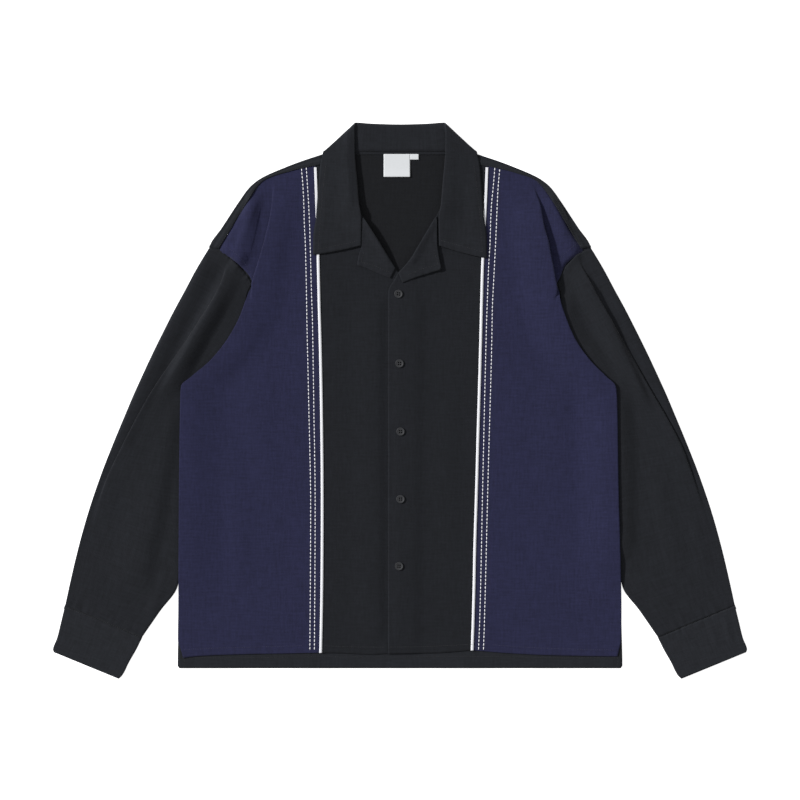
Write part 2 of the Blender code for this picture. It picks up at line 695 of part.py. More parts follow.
def main():
    clear_scene()
    for name in ("shirt_jacket", "cutters"):
        bpy.context.scene.collection.children.link(bpy.data.collections.new(name))
    make_back()
    for side in SIDES:
        make_side_front(side)
        make_centre_front(side)
        make_piping(side)
        make_sleeve(side)
        make_cuff(side)
        make_facing(side)
    make_collar()
    make_label("label", LABEL_LEFT, LABEL_RIGHT, LABEL_LOW, LABEL_HIGH)
    make_label("size_tab", LABEL_RIGHT + GAP, TAB_RIGHT, TAB_LOW, LABEL_HIGH)
    for number, (x, up) in enumerate(BUTTONS, 1):
        make_button("button_" + str(number), x, up)


main()
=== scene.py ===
"""The shirt jacket, dressed: black cotton and linen cloth with navy side fronts, white piping and stitching.

Sizes are millimetres. "out" is the distance outwards from the centre line, "up" runs from hem to collar, and
right and left are the wearer's: the wearer's right lies at -X. Every cloth piece starts from the sections
that its solid has, is drawn finely through them, and then gets the creases, puckers and sewing of the real
one.
"""

from collections import namedtuple
import math

import bmesh
import bpy
from mathutils import Matrix, Vector
from mathutils.bvhtree import BVHTree
import numpy as np


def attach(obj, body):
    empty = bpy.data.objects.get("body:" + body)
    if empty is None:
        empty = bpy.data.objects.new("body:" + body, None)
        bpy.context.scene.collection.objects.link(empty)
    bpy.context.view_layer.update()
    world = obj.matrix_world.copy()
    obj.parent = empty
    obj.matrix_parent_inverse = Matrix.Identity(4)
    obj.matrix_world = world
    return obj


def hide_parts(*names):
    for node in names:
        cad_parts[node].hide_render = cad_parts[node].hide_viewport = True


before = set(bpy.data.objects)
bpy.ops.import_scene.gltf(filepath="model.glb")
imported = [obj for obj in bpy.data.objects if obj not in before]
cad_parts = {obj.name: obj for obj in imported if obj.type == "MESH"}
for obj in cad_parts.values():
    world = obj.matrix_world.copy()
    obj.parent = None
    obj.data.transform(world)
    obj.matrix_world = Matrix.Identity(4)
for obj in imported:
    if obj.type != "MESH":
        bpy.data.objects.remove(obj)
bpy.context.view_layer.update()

MM = 0.001
CLOTH = 0.6                   # thickness of the cloth, thinner than its solids' walls

# Cloth and layers
WALL = 1.0                    # thickness of every cloth wall
GAP = 0.3                     # air between layers that lie on each other
LAYER = WALL + GAP            # from the middle of one layer to the middle of the next
FLOOR = WALL / 2              # middle of a wall that lies on the floor
ON_BACK = FLOOR + LAYER       # middle of a wall that lies on one layer
ON_FRONT = ON_BACK + LAYER    # middle of a wall that lies on two layers
RAISED = ON_FRONT + LAYER     # middle of a wall that lies on three layers
BEND = LAYER / 2              # radius of a flat fold, at the middle of the wall

# Driving sizes
NECK_UP = 341.5               # back neck seam
BACK_TOP_OUT = 102.0          # the back's top corner, hidden under the collar
UNDERLAP = -15.0              # edge of the right front, under the left one
OVERLAP_EDGE = -16.6          # edge of the left front, past the centre line
ARMHOLE_INSET = 1.2           # how far the back stays inside the armhole seam
PIPING_WIDTH, PIPING_TOP = 3.6, 321.5
BUTTON_WIDTH = 11.4
BUTTONS = ((-2.1, 147.0), (-0.7, 51.1), (0.7, -42.8), (0.7, -135.9), (-1.4, -228.4))  # x and up of each
LABEL_LEFT, LABEL_RIGHT, LABEL_LOW, LABEL_HIGH = -22.5, 13.9, 308.4, 340.0
TAB_RIGHT, TAB_LOW = 25.8, 332.2
LABEL_WALL = 0.8

SIDES = {"right": -1, "left": 1}


def table(columns, *rows):
    """Rows whose values are read by the names of their columns."""
    Row = namedtuple("Row", columns)
    return tuple(Row(*row) for row in rows)


# The shoulder: its folded edge, and the seam where the back's strip ends on the front
SHOULDER = table(
    "fold_out fold_up seam_out seam_up",
    (107, 340, 103, 326.5),
    (138, 329.7, 135, 320.3),
    (166, 318.8, 161.5, 313.6),
    (180.2, 312.7, 175, 309.5),
    (194.2, 305.2, 186.5, 304.5),
    (208, 293.7, 196, 296),
    (221.7, 275.1, 207.5, 279),
    (242.4, 243.7, 227.2, 247.3),
    (263.6, 211.8, 249.5, 209.5),
)

# The armhole, read by height: the sleeve's top layer and the back both end on it
ARMHOLE = table(
    "up right left",
    (207, 250, 254.5),
    (200, 239, 242.5),
    (185, 221.5, 228.8),
    (170, 208.3, 222.3),
    (160, 203.6, 216.8),
    (148, 209.8, 220.2),
    (135, 210, 218.5),
    (115, 217, 224),
    (85, 234, 237.5),
    (55, 258, 258.5),
    (34, 282, 278),
    (20, 299, 293),
)

# The back's side edges below the armhole
BACK_SIDE = table(
    "up out lift",
    (8, 297, 1),
    (-100, 300, 1),
    (-200, 303, 1),
    (-245, 304.3, 1),
    (-270, 304.8, 0.6),
    (-292, 305.2, 0.1),
    (-310, 305.6, 0),
    (-366, 306.8, 0),
    (-369.4, 304.5, 0),
)

# The seam between side front and centre front, which carries the piping
SEAM = table(
    "up right left",
    (328, 117, 120.2),
    (277, 115.2, 118.2),
    (199, 113, 114.3),
    (139, 111.7, 112.6),
    (56, 109.5, 110.6),
    (-54, 107.8, 107.4),
    (-137, 107.2, 105.2),
    (-192, 107.3, 103.4),
    (-275, 108, 101.7),
    (-350, 109.5, 99.3),
)

# The fronts' hem, read outwards
HEM = table(
    "out right left",
    (-20, -348.9, -349.2),
    (20.7, -349.1, -348.5),
    (41.4, -350.5, -348.3),
    (75.9, -348.4, -346.4),
    (97, -348, -344.3),
    (117, -347.9, -345.7),
    (165.6, -349.1, -349.6),
    (207, -349.8, -351.3),
    (276, -352.3, -352.8),
    (300, -355.3, -353),
)

# The side front, a row for each height: its outer edge, the fold of the body over the sleeve cap, how far
# the fold laps, how far it stands over the cap (step), and how high the outer part lies (lift)
SIDE_FRONT = table(
    "up edge_right edge_left fold_right fold_left lap step lift",
    (304, 188, 188, 174.5, 178, 0, 0, 0),
    (296, 197, 197, 175, 184, 0, 0.1, 0.1),
    (283.6, 205.5, 205.5, 176, 190, 0, 0.5, 0.5),
    (268.4, 215, 215.5, 177.5, 194.5, 0, 0.85, 0.85),
    (252, 225, 226, 180, 197, 0, 1, 1),
    (235, 235.5, 236.5, 184, 200.5, 4, 1, 1),
    (221.5, 243, 245, 187.3, 204.5, 6, 1, 1),
    (207.7, 248.4, 252.5, 191.3, 207, 8, 1, 1),
    (197, 234.3, 238.5, 194.3, 209, 9, 1, 1),
    (185.6, 220.5, 227.3, 197.8, 211.5, 10, 1, 1),
    (169.7, 206.5, 220.5, 202.8, 214.2, 9, 1, 1),
    (160, 202.9, 216, 205.3, 216.3, 6, 1, 1),
    (155, 205.4, 217.6, 205.2, 217, 3, 1, 1),
    (148, 209.3, 219.7, 206.2, 216.6, 0, 1, 1),
    (142, 211.3, 220.3, 206, 215, 0, 0.3, 1),
    (135, 213.9, 222, 203.9, 212, 0, 0, 1),
    # below the armhole the body isn't folded over: the last 10 mm are its edge
    *((up, right, left, right - 10, left - 10, 0, 0, lift) for up, right, left, lift in (
        (115, 221.4, 228.6, 1), (85, 237.8, 241.4, 1), (55, 262, 262.5, 1), (34, 286.5, 283.2, 1),
        (19, 302, 297.5, 1), (0, 302.9, 299.2, 1), (-120, 304.6, 301.2, 1), (-245, 305.4, 304.7, 1),
        (-270, 305.8, 305.3, 0.6), (-292, 306, 305.5, 0.1), (-330, 306.4, 305, 0), (-344, 302.2, 302, 0),
        (-354, 299, 300, 0),
    )),
)
LIFT = RAISED - ON_BACK       # how far the lifted parts rise over their plain height
LIFT_REACH = 55               # how far inwards from the fold the lift runs out

# The centre fronts' inner edges: button edge, lapel roll and neckline
NECKLINE = table(
    "up right left",
    (334, 70, 70),
    (305, 64, 64),
    (280, 62, 61),
    (262, 56, 54),
    (248, 47.5, 46.5),
    (230.5, 36.3, 35.8),
    (215, 26.6, 26.6),
    (199.5, 17, 17.2),
    (187, 9, 7.5),
    (177, 2, -2),
    (166, -13, -8.5),
    (156, -15, -14.5),
    *((up, UNDERLAP, OVERLAP_EDGE) for up in (150, 80, -20, -120, -220, -300, -350)),
)

# The sleeve, a row for each section across it, from the armhole to the cuff seam: its outer folded edge,
# its inner one on either side, the pleat's distance from the outer edge, how far the pleat laps and stands,
# and how much the section still bends with the cap seam
SLEEVE = table(
    "outer_out outer_up inner_right inner_left inner_up pleat_right pleat_left lap step bend",
    (264.6, 208.8, 204.4, 217, 160, 34, 19.5, 0, 0, 1),
    (273, 195.1, 210.6, 220.9, 147, 36, 23.3, 0, 0.6, 0.6),
    (282, 179.8, 212.3, 221.5, 136, 38.5, 24, 0, 1, 0.3),
    (296, 153.5, 219.5, 226, 112, 38.7, 24.4, 5, 1, 0.1),
    (311.5, 125, 236, 240, 83, 36.7, 23.8, 9, 1, 0),
    (327.5, 93.5, 254, 257, 60, 33, 22.7, 11, 1, 0),
    (342.5, 63, 272, 271, 41, 28.8, 21.3, 11, 1, 0),
    (356, 34, 288, 283, 26.5, 25.2, 20, 10, 1, 0),
    (368, 7.5, 298, 297, 8, 22, 18, 9, 1, 0),
    (380, -21, 298, 297, -25, 17.5, 13, 6, 1, 0),
    (397, -62, 296, 296, -75, 13.1, 8.5, 2, 1, 0),
    (413.4, -104.2, 294, 294, -130, 9, 8.5, 0, 0.8, 0),
    (431, -156.5, 297, 297, -200, 8.5, 8.5, 0, 0.2, 0),
    (444.8, -206.5, 306.4, 306.4, -256, 9, 9, 0, 0, 0),
    (455.2, -250.5, 331, 331, -291, 9, 9, 0, 0, 0),
    (462, -282, 355.6, 355.6, -326.6, 9, 9, 0, 0, 0),
)
PLEAT_RISE = RAISED - ON_BACK
PLEAT_REACH = 45              # how far inwards from the pleat its raised part runs out

# The cuff, a row for each section from its seam to its end
CUFF = table(
    "outer_out outer_up inner_out inner_up",
    (462.4, -282.9, 356, -327.8),
    (467.5, -304, 362, -340.5),
    (473.3, -327.5, 373.5, -361),
    (479, -343.6, 383.2, -379.6),
    (477.6, -347.2, 388, -384),
)

# The collar, a row for each section from its front end to the centre back: neck seam, roll and outer edge,
# how high it rolls, and how far it has turned from lying on the front to lying behind the back
COLLAR = table(
    "seam_out seam_up roll_out roll_up edge_out edge_up rise turn",
    (60, 213.8, 54, 213.6, 120.2, 200.8, 0.05, 0),
    (60.5, 232, 53.6, 232, 119.5, 228, 0.2, 0),
    (61, 252, 53.4, 252, 116, 252, 0.5, 0),
    (63, 270, 56.5, 270, 114.5, 272, 0.85, 0),
    (66, 303, 59.3, 303, 112, 302, 1, 0),
    (68, 325, 61.5, 326, 109.6, 327, 0.85, 0),
    (69, 341.5, 62.8, 346, 106, 342.8, 0.8, 0),
    (69, 342.4, 63, 363, 105.6, 343.6, 0.75, 0.05),
    (69, 342.8, 62.8, 379.5, 105, 343.6, 0.55, 0.25),
    (69, 343, 62, 383, 104.6, 343.4, 0.35, 0.6),
    (68.5, 343, 60, 383.2, 102, 343.9, 0.15, 1),
    (63, 343.2, 55, 383, 84, 344.5, 0, 1),
    (50, 343.2, 46.5, 382.2, 58, 344.7, 0, 1),
    (28, 343.2, 27, 381.2, 30, 345.4, 0, 1),
    (0, 343.2, 0, 380.6, 0, 345.6, 0, 1),
)
LEFT_COLLAR_POINT_DROP = 5    # the left collar point lies this much lower
COLLAR_BOW = 1.2              # how far the collar's front end bows outwards

# The collar's cross-section: share of the way from the roll to the neck seam (stand, negative) or to the
# outer edge (fall, positive), and the wall's height in front and behind
COLLAR_SECTION = table(
    "along front back",
    (-1, 3.1, 1.8),
    (-0.5, 5.6, 2.2),
    (-0.12, 8.2, 2.6),
    (0, 9.2, 1.7),
    (0.05, 9.3, 0.75),
    (0.2, 8.4, 0.5),
    (0.4, 6.6, 0.5),
    (0.7, 5, 0.5),
    (1, 4.4, 0.5),
)

# The turned-out lapels: their roll and their free edge
LAPEL_COLUMNS = "roll_out roll_up edge_out edge_up"
LAPELS = {
    "right": table(
        LAPEL_COLUMNS,
        (51, 252.5, 52.3, 247.5),
        (46.5, 246.5, 52.6, 232),
        (41, 238, 52.8, 214.5),
        (35.6, 229.7, 56.5, 202),
        (26, 214.2, 58.9, 188),
        (17, 199.6, 47, 182.6),
        (11, 189.8, 30, 175.6),
        (6.5, 182.5, 13, 168.6),
    ),
    "left": table(
        LAPEL_COLUMNS,
        (49.4, 253.5, 50.6, 248),
        (45, 246.5, 50.8, 233),
        (39.8, 238, 51.2, 216),
        (33, 226.6, 53.5, 199),
        (24, 211.5, 57, 182),
        (15, 196.5, 45, 177),
        (6, 185, 24, 170.5),
        (-2, 175.5, 3.5, 162.5),
    ),
}
LAPEL_ROLL_RISE = 2.2
LAPEL_ROLL_REACH = 14

# Curves -------------------------------------------------------------------------------------------------


def mix(a, b, t):
    return a + (b - a) * t


def smooth(t):
    t = np.clip(t, 0.0, 1.0)
    return t * t * (3 - 2 * t)


def through(marks, values, at):
    """A smooth curve through values, which stand at marks, that never overshoots them, read at each place."""
    width = np.diff(marks)
    runs = np.diff(values, axis=0) / width.reshape(-1, *[1] * (values.ndim - 1))
    a, b = runs[:-1], runs[1:]
    total = np.where(np.abs(a + b) < 1e-12, 1.0, a + b)
    inner = np.where(a * b <= 0, 0.0, 2 * a * b / total)
    bends = np.concatenate([runs[:1], inner, runs[-1:]])
    i = np.clip(np.searchsorted(marks, at, side="right") - 1, 0, len(marks) - 2)
    shape = (-1, *[1] * (values.ndim - 1))
    run, t = width[i].reshape(shape), ((at - marks[i]) / width[i]).reshape(shape)
    return (
        values[i] * (1 + 2 * t) * (1 - t) ** 2
        + values[i + 1] * t * t * (3 - 2 * t)
        + bends[i] * run * t * (1 - t) ** 2
        - bends[i + 1] * run * t * t * (1 - t)
    )


def follow(rows, key, value, at):
    """The column called value, read smoothly at a place along the column called key."""
    pairs = sorted((getattr(row, key), getattr(row, value)) for row in rows)
    marks, values = np.array(pairs, float).T
    return through(marks, values, np.clip([at], marks[0], marks[-1]))[0]


def lengths_along(points):
    """How far along a line each of its points is."""
    return np.concatenate([[0.0], np.cumsum(np.linalg.norm(np.diff(points, axis=0), axis=1))])


# Sections of the cloth pieces, each a row of (x, up, z) places --------------------------------------------


def fold_points(fold, lap, step, top, low):
    """A flat fold in a section: it runs outwards, back under itself by lap, and outwards again.

    With step 0 the cloth lies flat; with step 1 it drops from top to low at the fold.
    """
    middle = (top + low) / 2
    flat = (-6.0, -4.0, -2.5, -1.0, 0.5, 2.0, 3.5)
    folded = (
        (-5.0, top),
        (-BEND - WALL / 2, top),
        (-WALL / 2, (top + middle) / 2),
        (-0.9 - lap / 2, middle),
        (-BEND * 2 - lap, (middle + low) / 2),
        (-BEND - lap, low),
        (3.0 - BEND - lap, low),
    )
    return [(fold + mix(a, b, step), z) for a, (b, z) in zip(flat, folded)]


def shoulder_points(row):
    """The shoulder strip's section: floor layer, folded edge, and on to the seam over the front."""
    reach_out, reach_up = row.fold_out - row.seam_out, row.fold_up - row.seam_up
    length = math.hypot(reach_out, reach_up)
    away_out, away_up = reach_out / length, reach_up / length
    start = BEND + WALL / 2
    marks = (
        (start, FLOOR),
        (WALL / 2, FLOOR + BEND),
        (start, ON_BACK),
        (mix(start, length, 0.3), ON_BACK),
        (mix(start, length, 0.64), ON_FRONT),
        (length, ON_FRONT),
    )
    return [(row.fold_out - away_out * back, row.fold_up - away_up * back, z) for back, z in marks]


def back_cage():
    """The back's rows from hem to neck, and which of them are the shoulders' first and last."""
    across = (0.0, 0.3, 0.55, 0.72, 0.82, 0.89, 0.95, 1.0)

    def row_points(right, left, up, amount):
        points = []
        for share in [-share for share in reversed(across[1:])] + list(across):
            lift = LIFT * amount * smooth((abs(share) - 0.82) / 0.13)
            points.append(((right if share < 0 else left) * share, up, FLOOR + lift))
        return points

    rows = [row_points(row.out, row.out, row.up, row.lift) for row in reversed(BACK_SIDE)]
    for row in reversed(ARMHOLE):
        lift = smooth((90.0 - row.up) / 35.0)
        rows.append(row_points(row.right - ARMHOLE_INSET, row.left - ARMHOLE_INSET, row.up, lift))
    first = len(rows)
    for row in reversed(SHOULDER):
        out, up, _ = shoulder_points(row)[0]
        rows.append(row_points(out, out, up, 0.0))
    rows.append(row_points(BACK_TOP_OUT, BACK_TOP_OUT, NECK_UP, 0.0))
    return rows, first, len(rows) - 2


def shoulder_cage(side):
    return [[(SIDES[side] * out, up, z) for out, up, z in shoulder_points(row)] for row in reversed(SHOULDER)]


def front_up(out, up):
    """Rows near the shoulder follow its slanting seam; lower rows run level."""
    slant = follow(SHOULDER, "seam_out", "seam_up", min(out, 189.0)) - 303.4
    return up + slant * smooth((up - 255.0) / 49.0)


def side_front_cage(side):
    inward = (0.0, 0.3, 0.55, 0.74, 0.88)
    rows = []
    for row in SIDE_FRONT:
        seam = follow(SEAM, "up", side, front_up(118.0, row.up)) + GAP / 2
        fold = getattr(row, "fold_" + side)
        edge = getattr(row, "edge_" + side)
        top = ON_BACK + LIFT * row.lift
        low = top - LIFT * row.step
        points = []
        for share in inward:
            out = mix(seam, fold - 8.0, share)
            z = ON_BACK + LIFT * row.lift * smooth((out - fold + LIFT_REACH) / (LIFT_REACH - 8.0))
            points.append((out, z))
        bend = fold_points(fold, row.lap, row.step, top, low)
        points += bend + [(mix(bend[-1][0], edge, share), low) for share in (0.5, 1.0)]
        hem = row is SIDE_FRONT[-1]
        ups = [follow(HEM, "out", side, out) if hem else front_up(out, row.up) for out, _ in points]
        rows.append([(SIDES[side] * out, up, z) for (out, z), up in zip(points, ups)])
    return rows


def centre_height(side, out, up):
    """The middle of the wall: the left front steps up over the right, and both rise at the lapel roll."""
    z = ON_BACK
    if side == "left":
        z += LAYER * (1.0 - smooth((out - 17.0) / 14.0))
    if up > 176.0:
        roll = follow(NECKLINE, "up", side, up)
        near = 1.0 - smooth((out - roll) / LAPEL_ROLL_REACH)
        fades = smooth((out - 8.0) / 15.0) * smooth((262.0 - up) / 14.0)
        z += LAPEL_ROLL_RISE * near * fades
    return z


def centre_front_cage(side):
    shares = (0.0, 0.08, 0.17, 0.28, 0.42, 0.6, 0.8, 1.0)
    rows = []
    for row in NECKLINE:
        inner = getattr(row, side)
        seam = follow(SEAM, "up", side, row.up) - GAP / 2
        hem = row is NECKLINE[-1]
        points = []
        for share in shares:
            out = mix(inner, seam, share)
            up = follow(HEM, "out", side, out) if hem else row.up
            if row is NECKLINE[0]:
                up = mix(row.up, 325.0, share)
            points.append((SIDES[side] * out, up, centre_height(side, out, row.up)))
        rows.append(points)
    return rows


def piping_cage(side):
    rows = []
    for up in np.linspace(PIPING_TOP, follow(HEM, "out", side, 105.0), 15):
        middle = follow(SEAM, "up", side, up)
        outs = [middle + share * PIPING_WIDTH / 2 for share in (-1.0, 0.0, 1.0)]
        rows.append([(SIDES[side] * out, up, ON_FRONT) for out in outs])
    return rows


def cap_seam(side):
    """The sleeve's top seam, from the crease's lower end up to the shoulder end."""
    rows = [row for row in reversed(ARMHOLE) if row.up >= SLEEVE[0].inner_up]
    return [(getattr(row, side), row.up) for row in rows] + [(SLEEVE[0].outer_out, SLEEVE[0].outer_up)]


def on_curve(points, share):
    """The place at a share of the length of a line of points, and that length."""
    points = np.array(points)
    marks = lengths_along(points)
    return (*(np.interp(share * marks[-1], marks, column) for column in points.T), marks[-1])


def under_side(length, turn, count):
    """The lower layer of a flattened tube, from the turn at its outer edge to the one at its inner edge."""
    flat = [(mix(length - turn, turn, i / count), FLOOR) for i in range(count + 1)]
    return [(length - WALL / 2, FLOOR + BEND)] + flat + [(WALL / 2, FLOOR + BEND)]


def sleeve_ring(side, row):
    """One closed section round the flattened sleeve."""
    curve = cap_seam(side)
    inner, outer = (getattr(row, "inner_" + side), row.inner_up), (row.outer_out, row.outer_up)
    straight = math.hypot(outer[0] - inner[0], outer[1] - inner[1])
    length = mix(straight, on_curve(curve, 0.0)[2], row.bend)

    def spot(share):
        out, up = mix(inner[0], outer[0], share), mix(inner[1], outer[1], share)
        bent = on_curve(curve, share)
        out += row.bend * (bent[0] - mix(curve[0][0], curve[-1][0], share))
        up += row.bend * (bent[1] - mix(curve[0][1], curve[-1][1], share))
        return out, up

    pleat = length - getattr(row, "pleat_" + side)
    top = ON_BACK + PLEAT_RISE * row.step
    turn = BEND + WALL / 2
    upper = []
    for share in (0.0, 0.2, 0.4, 0.6, 0.78, 0.9):
        reach = mix(turn, pleat - 8.0, share)
        z = ON_BACK + PLEAT_RISE * row.step * smooth((reach - pleat + PLEAT_REACH) / (PLEAT_REACH - 8.0))
        upper.append((reach, z))
    bend = fold_points(pleat, row.lap, row.step, top, ON_BACK)
    upper += bend
    upper.append((mix(bend[-1][0], length - turn, 0.5), ON_BACK))
    upper.append((length - turn, ON_BACK))
    ring = upper + under_side(length, turn, 8) + upper[:1]
    places_round = [(*spot(reach / length), z) for reach, z in ring]
    return [(SIDES[side] * out, up, z) for out, up, z in places_round]


def cuff_cage(side):
    turn = BEND + WALL / 2
    rings = []
    for row in CUFF:
        length = math.hypot(row.outer_out - row.inner_out, row.outer_up - row.inner_up)
        upper = [(mix(turn, length - turn, i / 5), ON_BACK) for i in range(6)]
        ring = []
        for reach, z in upper + under_side(length, turn, 5) + upper[:1]:
            out = mix(row.inner_out, row.outer_out, reach / length)
            ring.append((SIDES[side] * out, mix(row.inner_up, row.outer_up, reach / length), z))
        rings.append(ring)
    return rings


def collar_row(row, side, first):
    """One section of the collar: up the stand from the neck seam, over the roll, down to the outer edge."""
    drop = LEFT_COLLAR_POINT_DROP if first and side == "left" else 0.0
    bow = COLLAR_BOW if first else 0.0
    points = []
    for mark in COLLAR_SECTION:
        along = abs(mark.along)
        if mark.along < 0:
            flat, end_out, end_up = ON_FRONT, row.seam_out, row.seam_up
        else:
            flat, end_out, end_up = RAISED, row.edge_out, row.edge_up - drop
        out, up = mix(row.roll_out, end_out, along), mix(row.roll_up, end_up, along)
        if mark.along > 0:
            up -= bow * math.sin(math.pi * along)
        points.append((SIDES[side] * out, up, mix(mix(flat, mark.front, row.rise), mark.back, row.turn)))
    return points


def collar_cage():
    right = [collar_row(row, "right", row is COLLAR[0]) for row in COLLAR]
    left = [collar_row(row, "left", row is COLLAR[0]) for row in COLLAR[:-1]]
    return right + left[::-1]


def facing_cage(side):
    rows = []
    for row in LAPELS[side]:
        points = []
        for share in (0.0, 0.12, 0.3, 0.55, 0.8, 1.0):
            out, up = mix(row.roll_out, row.edge_out, share), mix(row.roll_up, row.edge_up, share)
            z = centre_height(side, out, up) + LAYER + GAP * (1.0 - share)
            points.append((SIDES[side] * out, up, z))
        rows.append(points)
    return rows


# Fine cloth ---------------------------------------------------------------------------------------------


def places(values, step, least):
    """Marks along a grid's first direction, and places between them about a step apart."""
    lengths = np.maximum(np.linalg.norm(np.diff(values, axis=0), axis=2).mean(axis=1), 0.05)
    marks = np.concatenate([[0.0], np.cumsum(lengths)])
    at = [0.0]
    for start, length in zip(marks[:-1], lengths):
        count = max(least, round(length / step))
        at += [start + length * (k + 1) / count for k in range(count)]
    return marks, np.array(at)


# A cloth piece drawn finely: its places, its lengths along the cloth both ways, and where its sections were
Fine = namedtuple("Fine", "grid across along marks_across marks_along")


def drawn_finely(cage, step):
    """The cage's sections as a fine grid."""
    cage = np.array(cage, float)
    marks_along, along = places(cage, step, 1)
    cage = through(marks_along, cage, along)
    marks_across, across = places(cage.transpose(1, 0, 2), step, 2)
    grid = through(marks_across, cage.transpose(1, 0, 2), across).transpose(1, 0, 2)
    return Fine(grid, across, along, marks_across, marks_along)


def dense(path, step=4.0):
    """A smooth line through the points of a path."""
    path = np.array(path, float)
    marks = lengths_along(path)
    at = np.linspace(0.0, marks[-1], max(2, int(marks[-1] / step) + 1))
    return through(marks, path, at), at


def near_path(x, y, path):
    """How far each place is from the path, positive on the path's left hand, and how far along it is."""
    line, marks = dense(path)
    best = np.full(x.shape, 1e9)
    side = np.zeros(x.shape)
    along = np.zeros(x.shape)
    for (ax, ay), (bx, by), start, end in zip(line[:-1], line[1:], marks[:-1], marks[1:]):
        dx, dy = bx - ax, by - ay
        length = math.hypot(dx, dy)
        t = np.clip(((x - ax) * dx + (y - ay) * dy) / length**2, 0.0, 1.0)
        away = np.hypot(x - ax - t * dx, y - ay - t * dy)
        closer = away < best
        best = np.where(closer, away, best)
        side = np.where(closer, np.sign(dx * (y - ay) - dy * (x - ax)), side)
        along = np.where(closer, start + t * (end - start), along)
    return best * np.where(side < 0, -1.0, 1.0), along, marks[-1]


# A crease: its line, its height (a trough's is negative), its reach on the line's left and right hand, and
# the share of its length over which each end fades out
Crease = namedtuple("Crease", "line height left right ends", defaults=(0.3,))

# Puckers along a seam: its line, their height, how far apart they are, how far they reach, and a seed
Puckers = namedtuple("Puckers", "line height apart reach seed")


def crease_height(x, y, crease):
    away, along, length = near_path(x, y, crease.line)
    t = np.where(away > 0, away / crease.left, -away / crease.right)
    shape = np.clip(1.0 - t * t, 0.0, 1.0) ** 2
    if crease.ends > 0:
        share = along / length
        shape = shape * smooth(share / crease.ends) * smooth((1.0 - share) / crease.ends)
    return crease.height * shape


def pucker_height(x, y, puckers):
    away, along, length = near_path(x, y, puckers.line)
    chance = np.random.default_rng(puckers.seed)
    wave = np.zeros(x.shape)
    for _ in range(5):
        pitch = puckers.apart * chance.uniform(0.7, 1.8)
        lean = chance.uniform(-0.5, 0.5)
        wave += np.sin((along + lean * away) / pitch * 2 * math.pi + chance.uniform(0, 6.28)) / 5
    reach = np.clip(1.0 - np.abs(away) / puckers.reach, 0.0, 1.0) ** 2
    inside = smooth(along / 12.0) * smooth((length - along) / 12.0)
    return puckers.height * 2.2 * wave * reach * inside


SWELL_WAVES = 9


def swell(x, y, low, high, seed):
    """Soft unevenness, from -1 to 1, with waves from low to high millimetres long."""
    chance = np.random.default_rng(seed)
    total = np.zeros(x.shape)
    for _ in range(SWELL_WAVES):
        turn, size, start = chance.uniform(0, 6.28), chance.uniform(low, high), chance.uniform(0, 6.28)
        total += np.sin((x * math.cos(turn) + y * math.sin(turn)) * 2 * math.pi / size + start)
    return total / SWELL_WAVES * 1.6


def lie(x, y):
    """How much the whole jacket lifts off the surface at a place, every layer alike."""
    return 0.45 + 0.45 * swell(x, y, 90.0, 190.0, 11) + 0.12 * swell(x, y, 30.0, 60.0, 12)


def relief(x, y, forms):
    total = np.zeros(x.shape)
    for form in forms:
        reach = max(form.left, form.right) if isinstance(form, Crease) else form.reach
        line = np.array(form.line)
        low, high = line.min(axis=0) - reach, line.max(axis=0) + reach
        close = (x > low[0]) & (x < high[0]) & (y > low[1]) & (y < high[1])
        if close.any():
            height = crease_height if isinstance(form, Crease) else pucker_height
            total[close] += height(x[close], y[close], form)
    return total


# Pieces -------------------------------------------------------------------------------------------------


def lay_grid(bm, fine, uv_on_plan):
    """A grid on the fine places. Its UV map is its plan, or its lengths along the cloth, in metres."""
    count_along, count_across = fine.grid.shape[:2]
    made = bmesh.ops.create_grid(bm, x_segments=count_across - 1, y_segments=count_along - 1, size=0.5)
    uv = bm.loops.layers.uv.get("UVMap") or bm.loops.layers.uv.new("UVMap")
    for vert in made["verts"]:
        i = round((vert.co.x + 0.5) * (count_across - 1))
        j = round((vert.co.y + 0.5) * (count_along - 1))
        vert.co = Vector(fine.grid[j, i]) * MM
        place = vert.co.xy if uv_on_plan else Vector((fine.across[i], fine.along[j])) * MM
        for loop in vert.link_loops:
            loop[uv].uv = place


def add_piece(name, bm, material):
    mesh = bpy.data.meshes.new(name)
    bm.to_mesh(mesh)
    bm.free()
    for face in mesh.polygons:
        face.use_smooth = True
    made = bpy.data.objects.new(name, mesh)
    mesh.materials.append(material)
    bpy.context.scene.collection.objects.link(made)
    return made


def add_cloth(name, fines, material, wall=CLOTH, uv_on_plan=True):
    """Cloth through fine grids that share their edges, given its thickness."""
    bm = bmesh.new()
    for fine in fines:
        lay_grid(bm, fine, uv_on_plan)
    bmesh.ops.remove_doubles(bm, verts=bm.verts, dist=2e-6)
    bmesh.ops.recalc_face_normals(bm, faces=bm.faces)
    made = add_piece(name, bm, material)
    thick = made.modifiers.new("wall", "SOLIDIFY")
    thick.thickness = wall * MM
    thick.offset = 0.0
    return made


# Creases and puckers, as (x, up) lines ---------------------------------------------------------------------

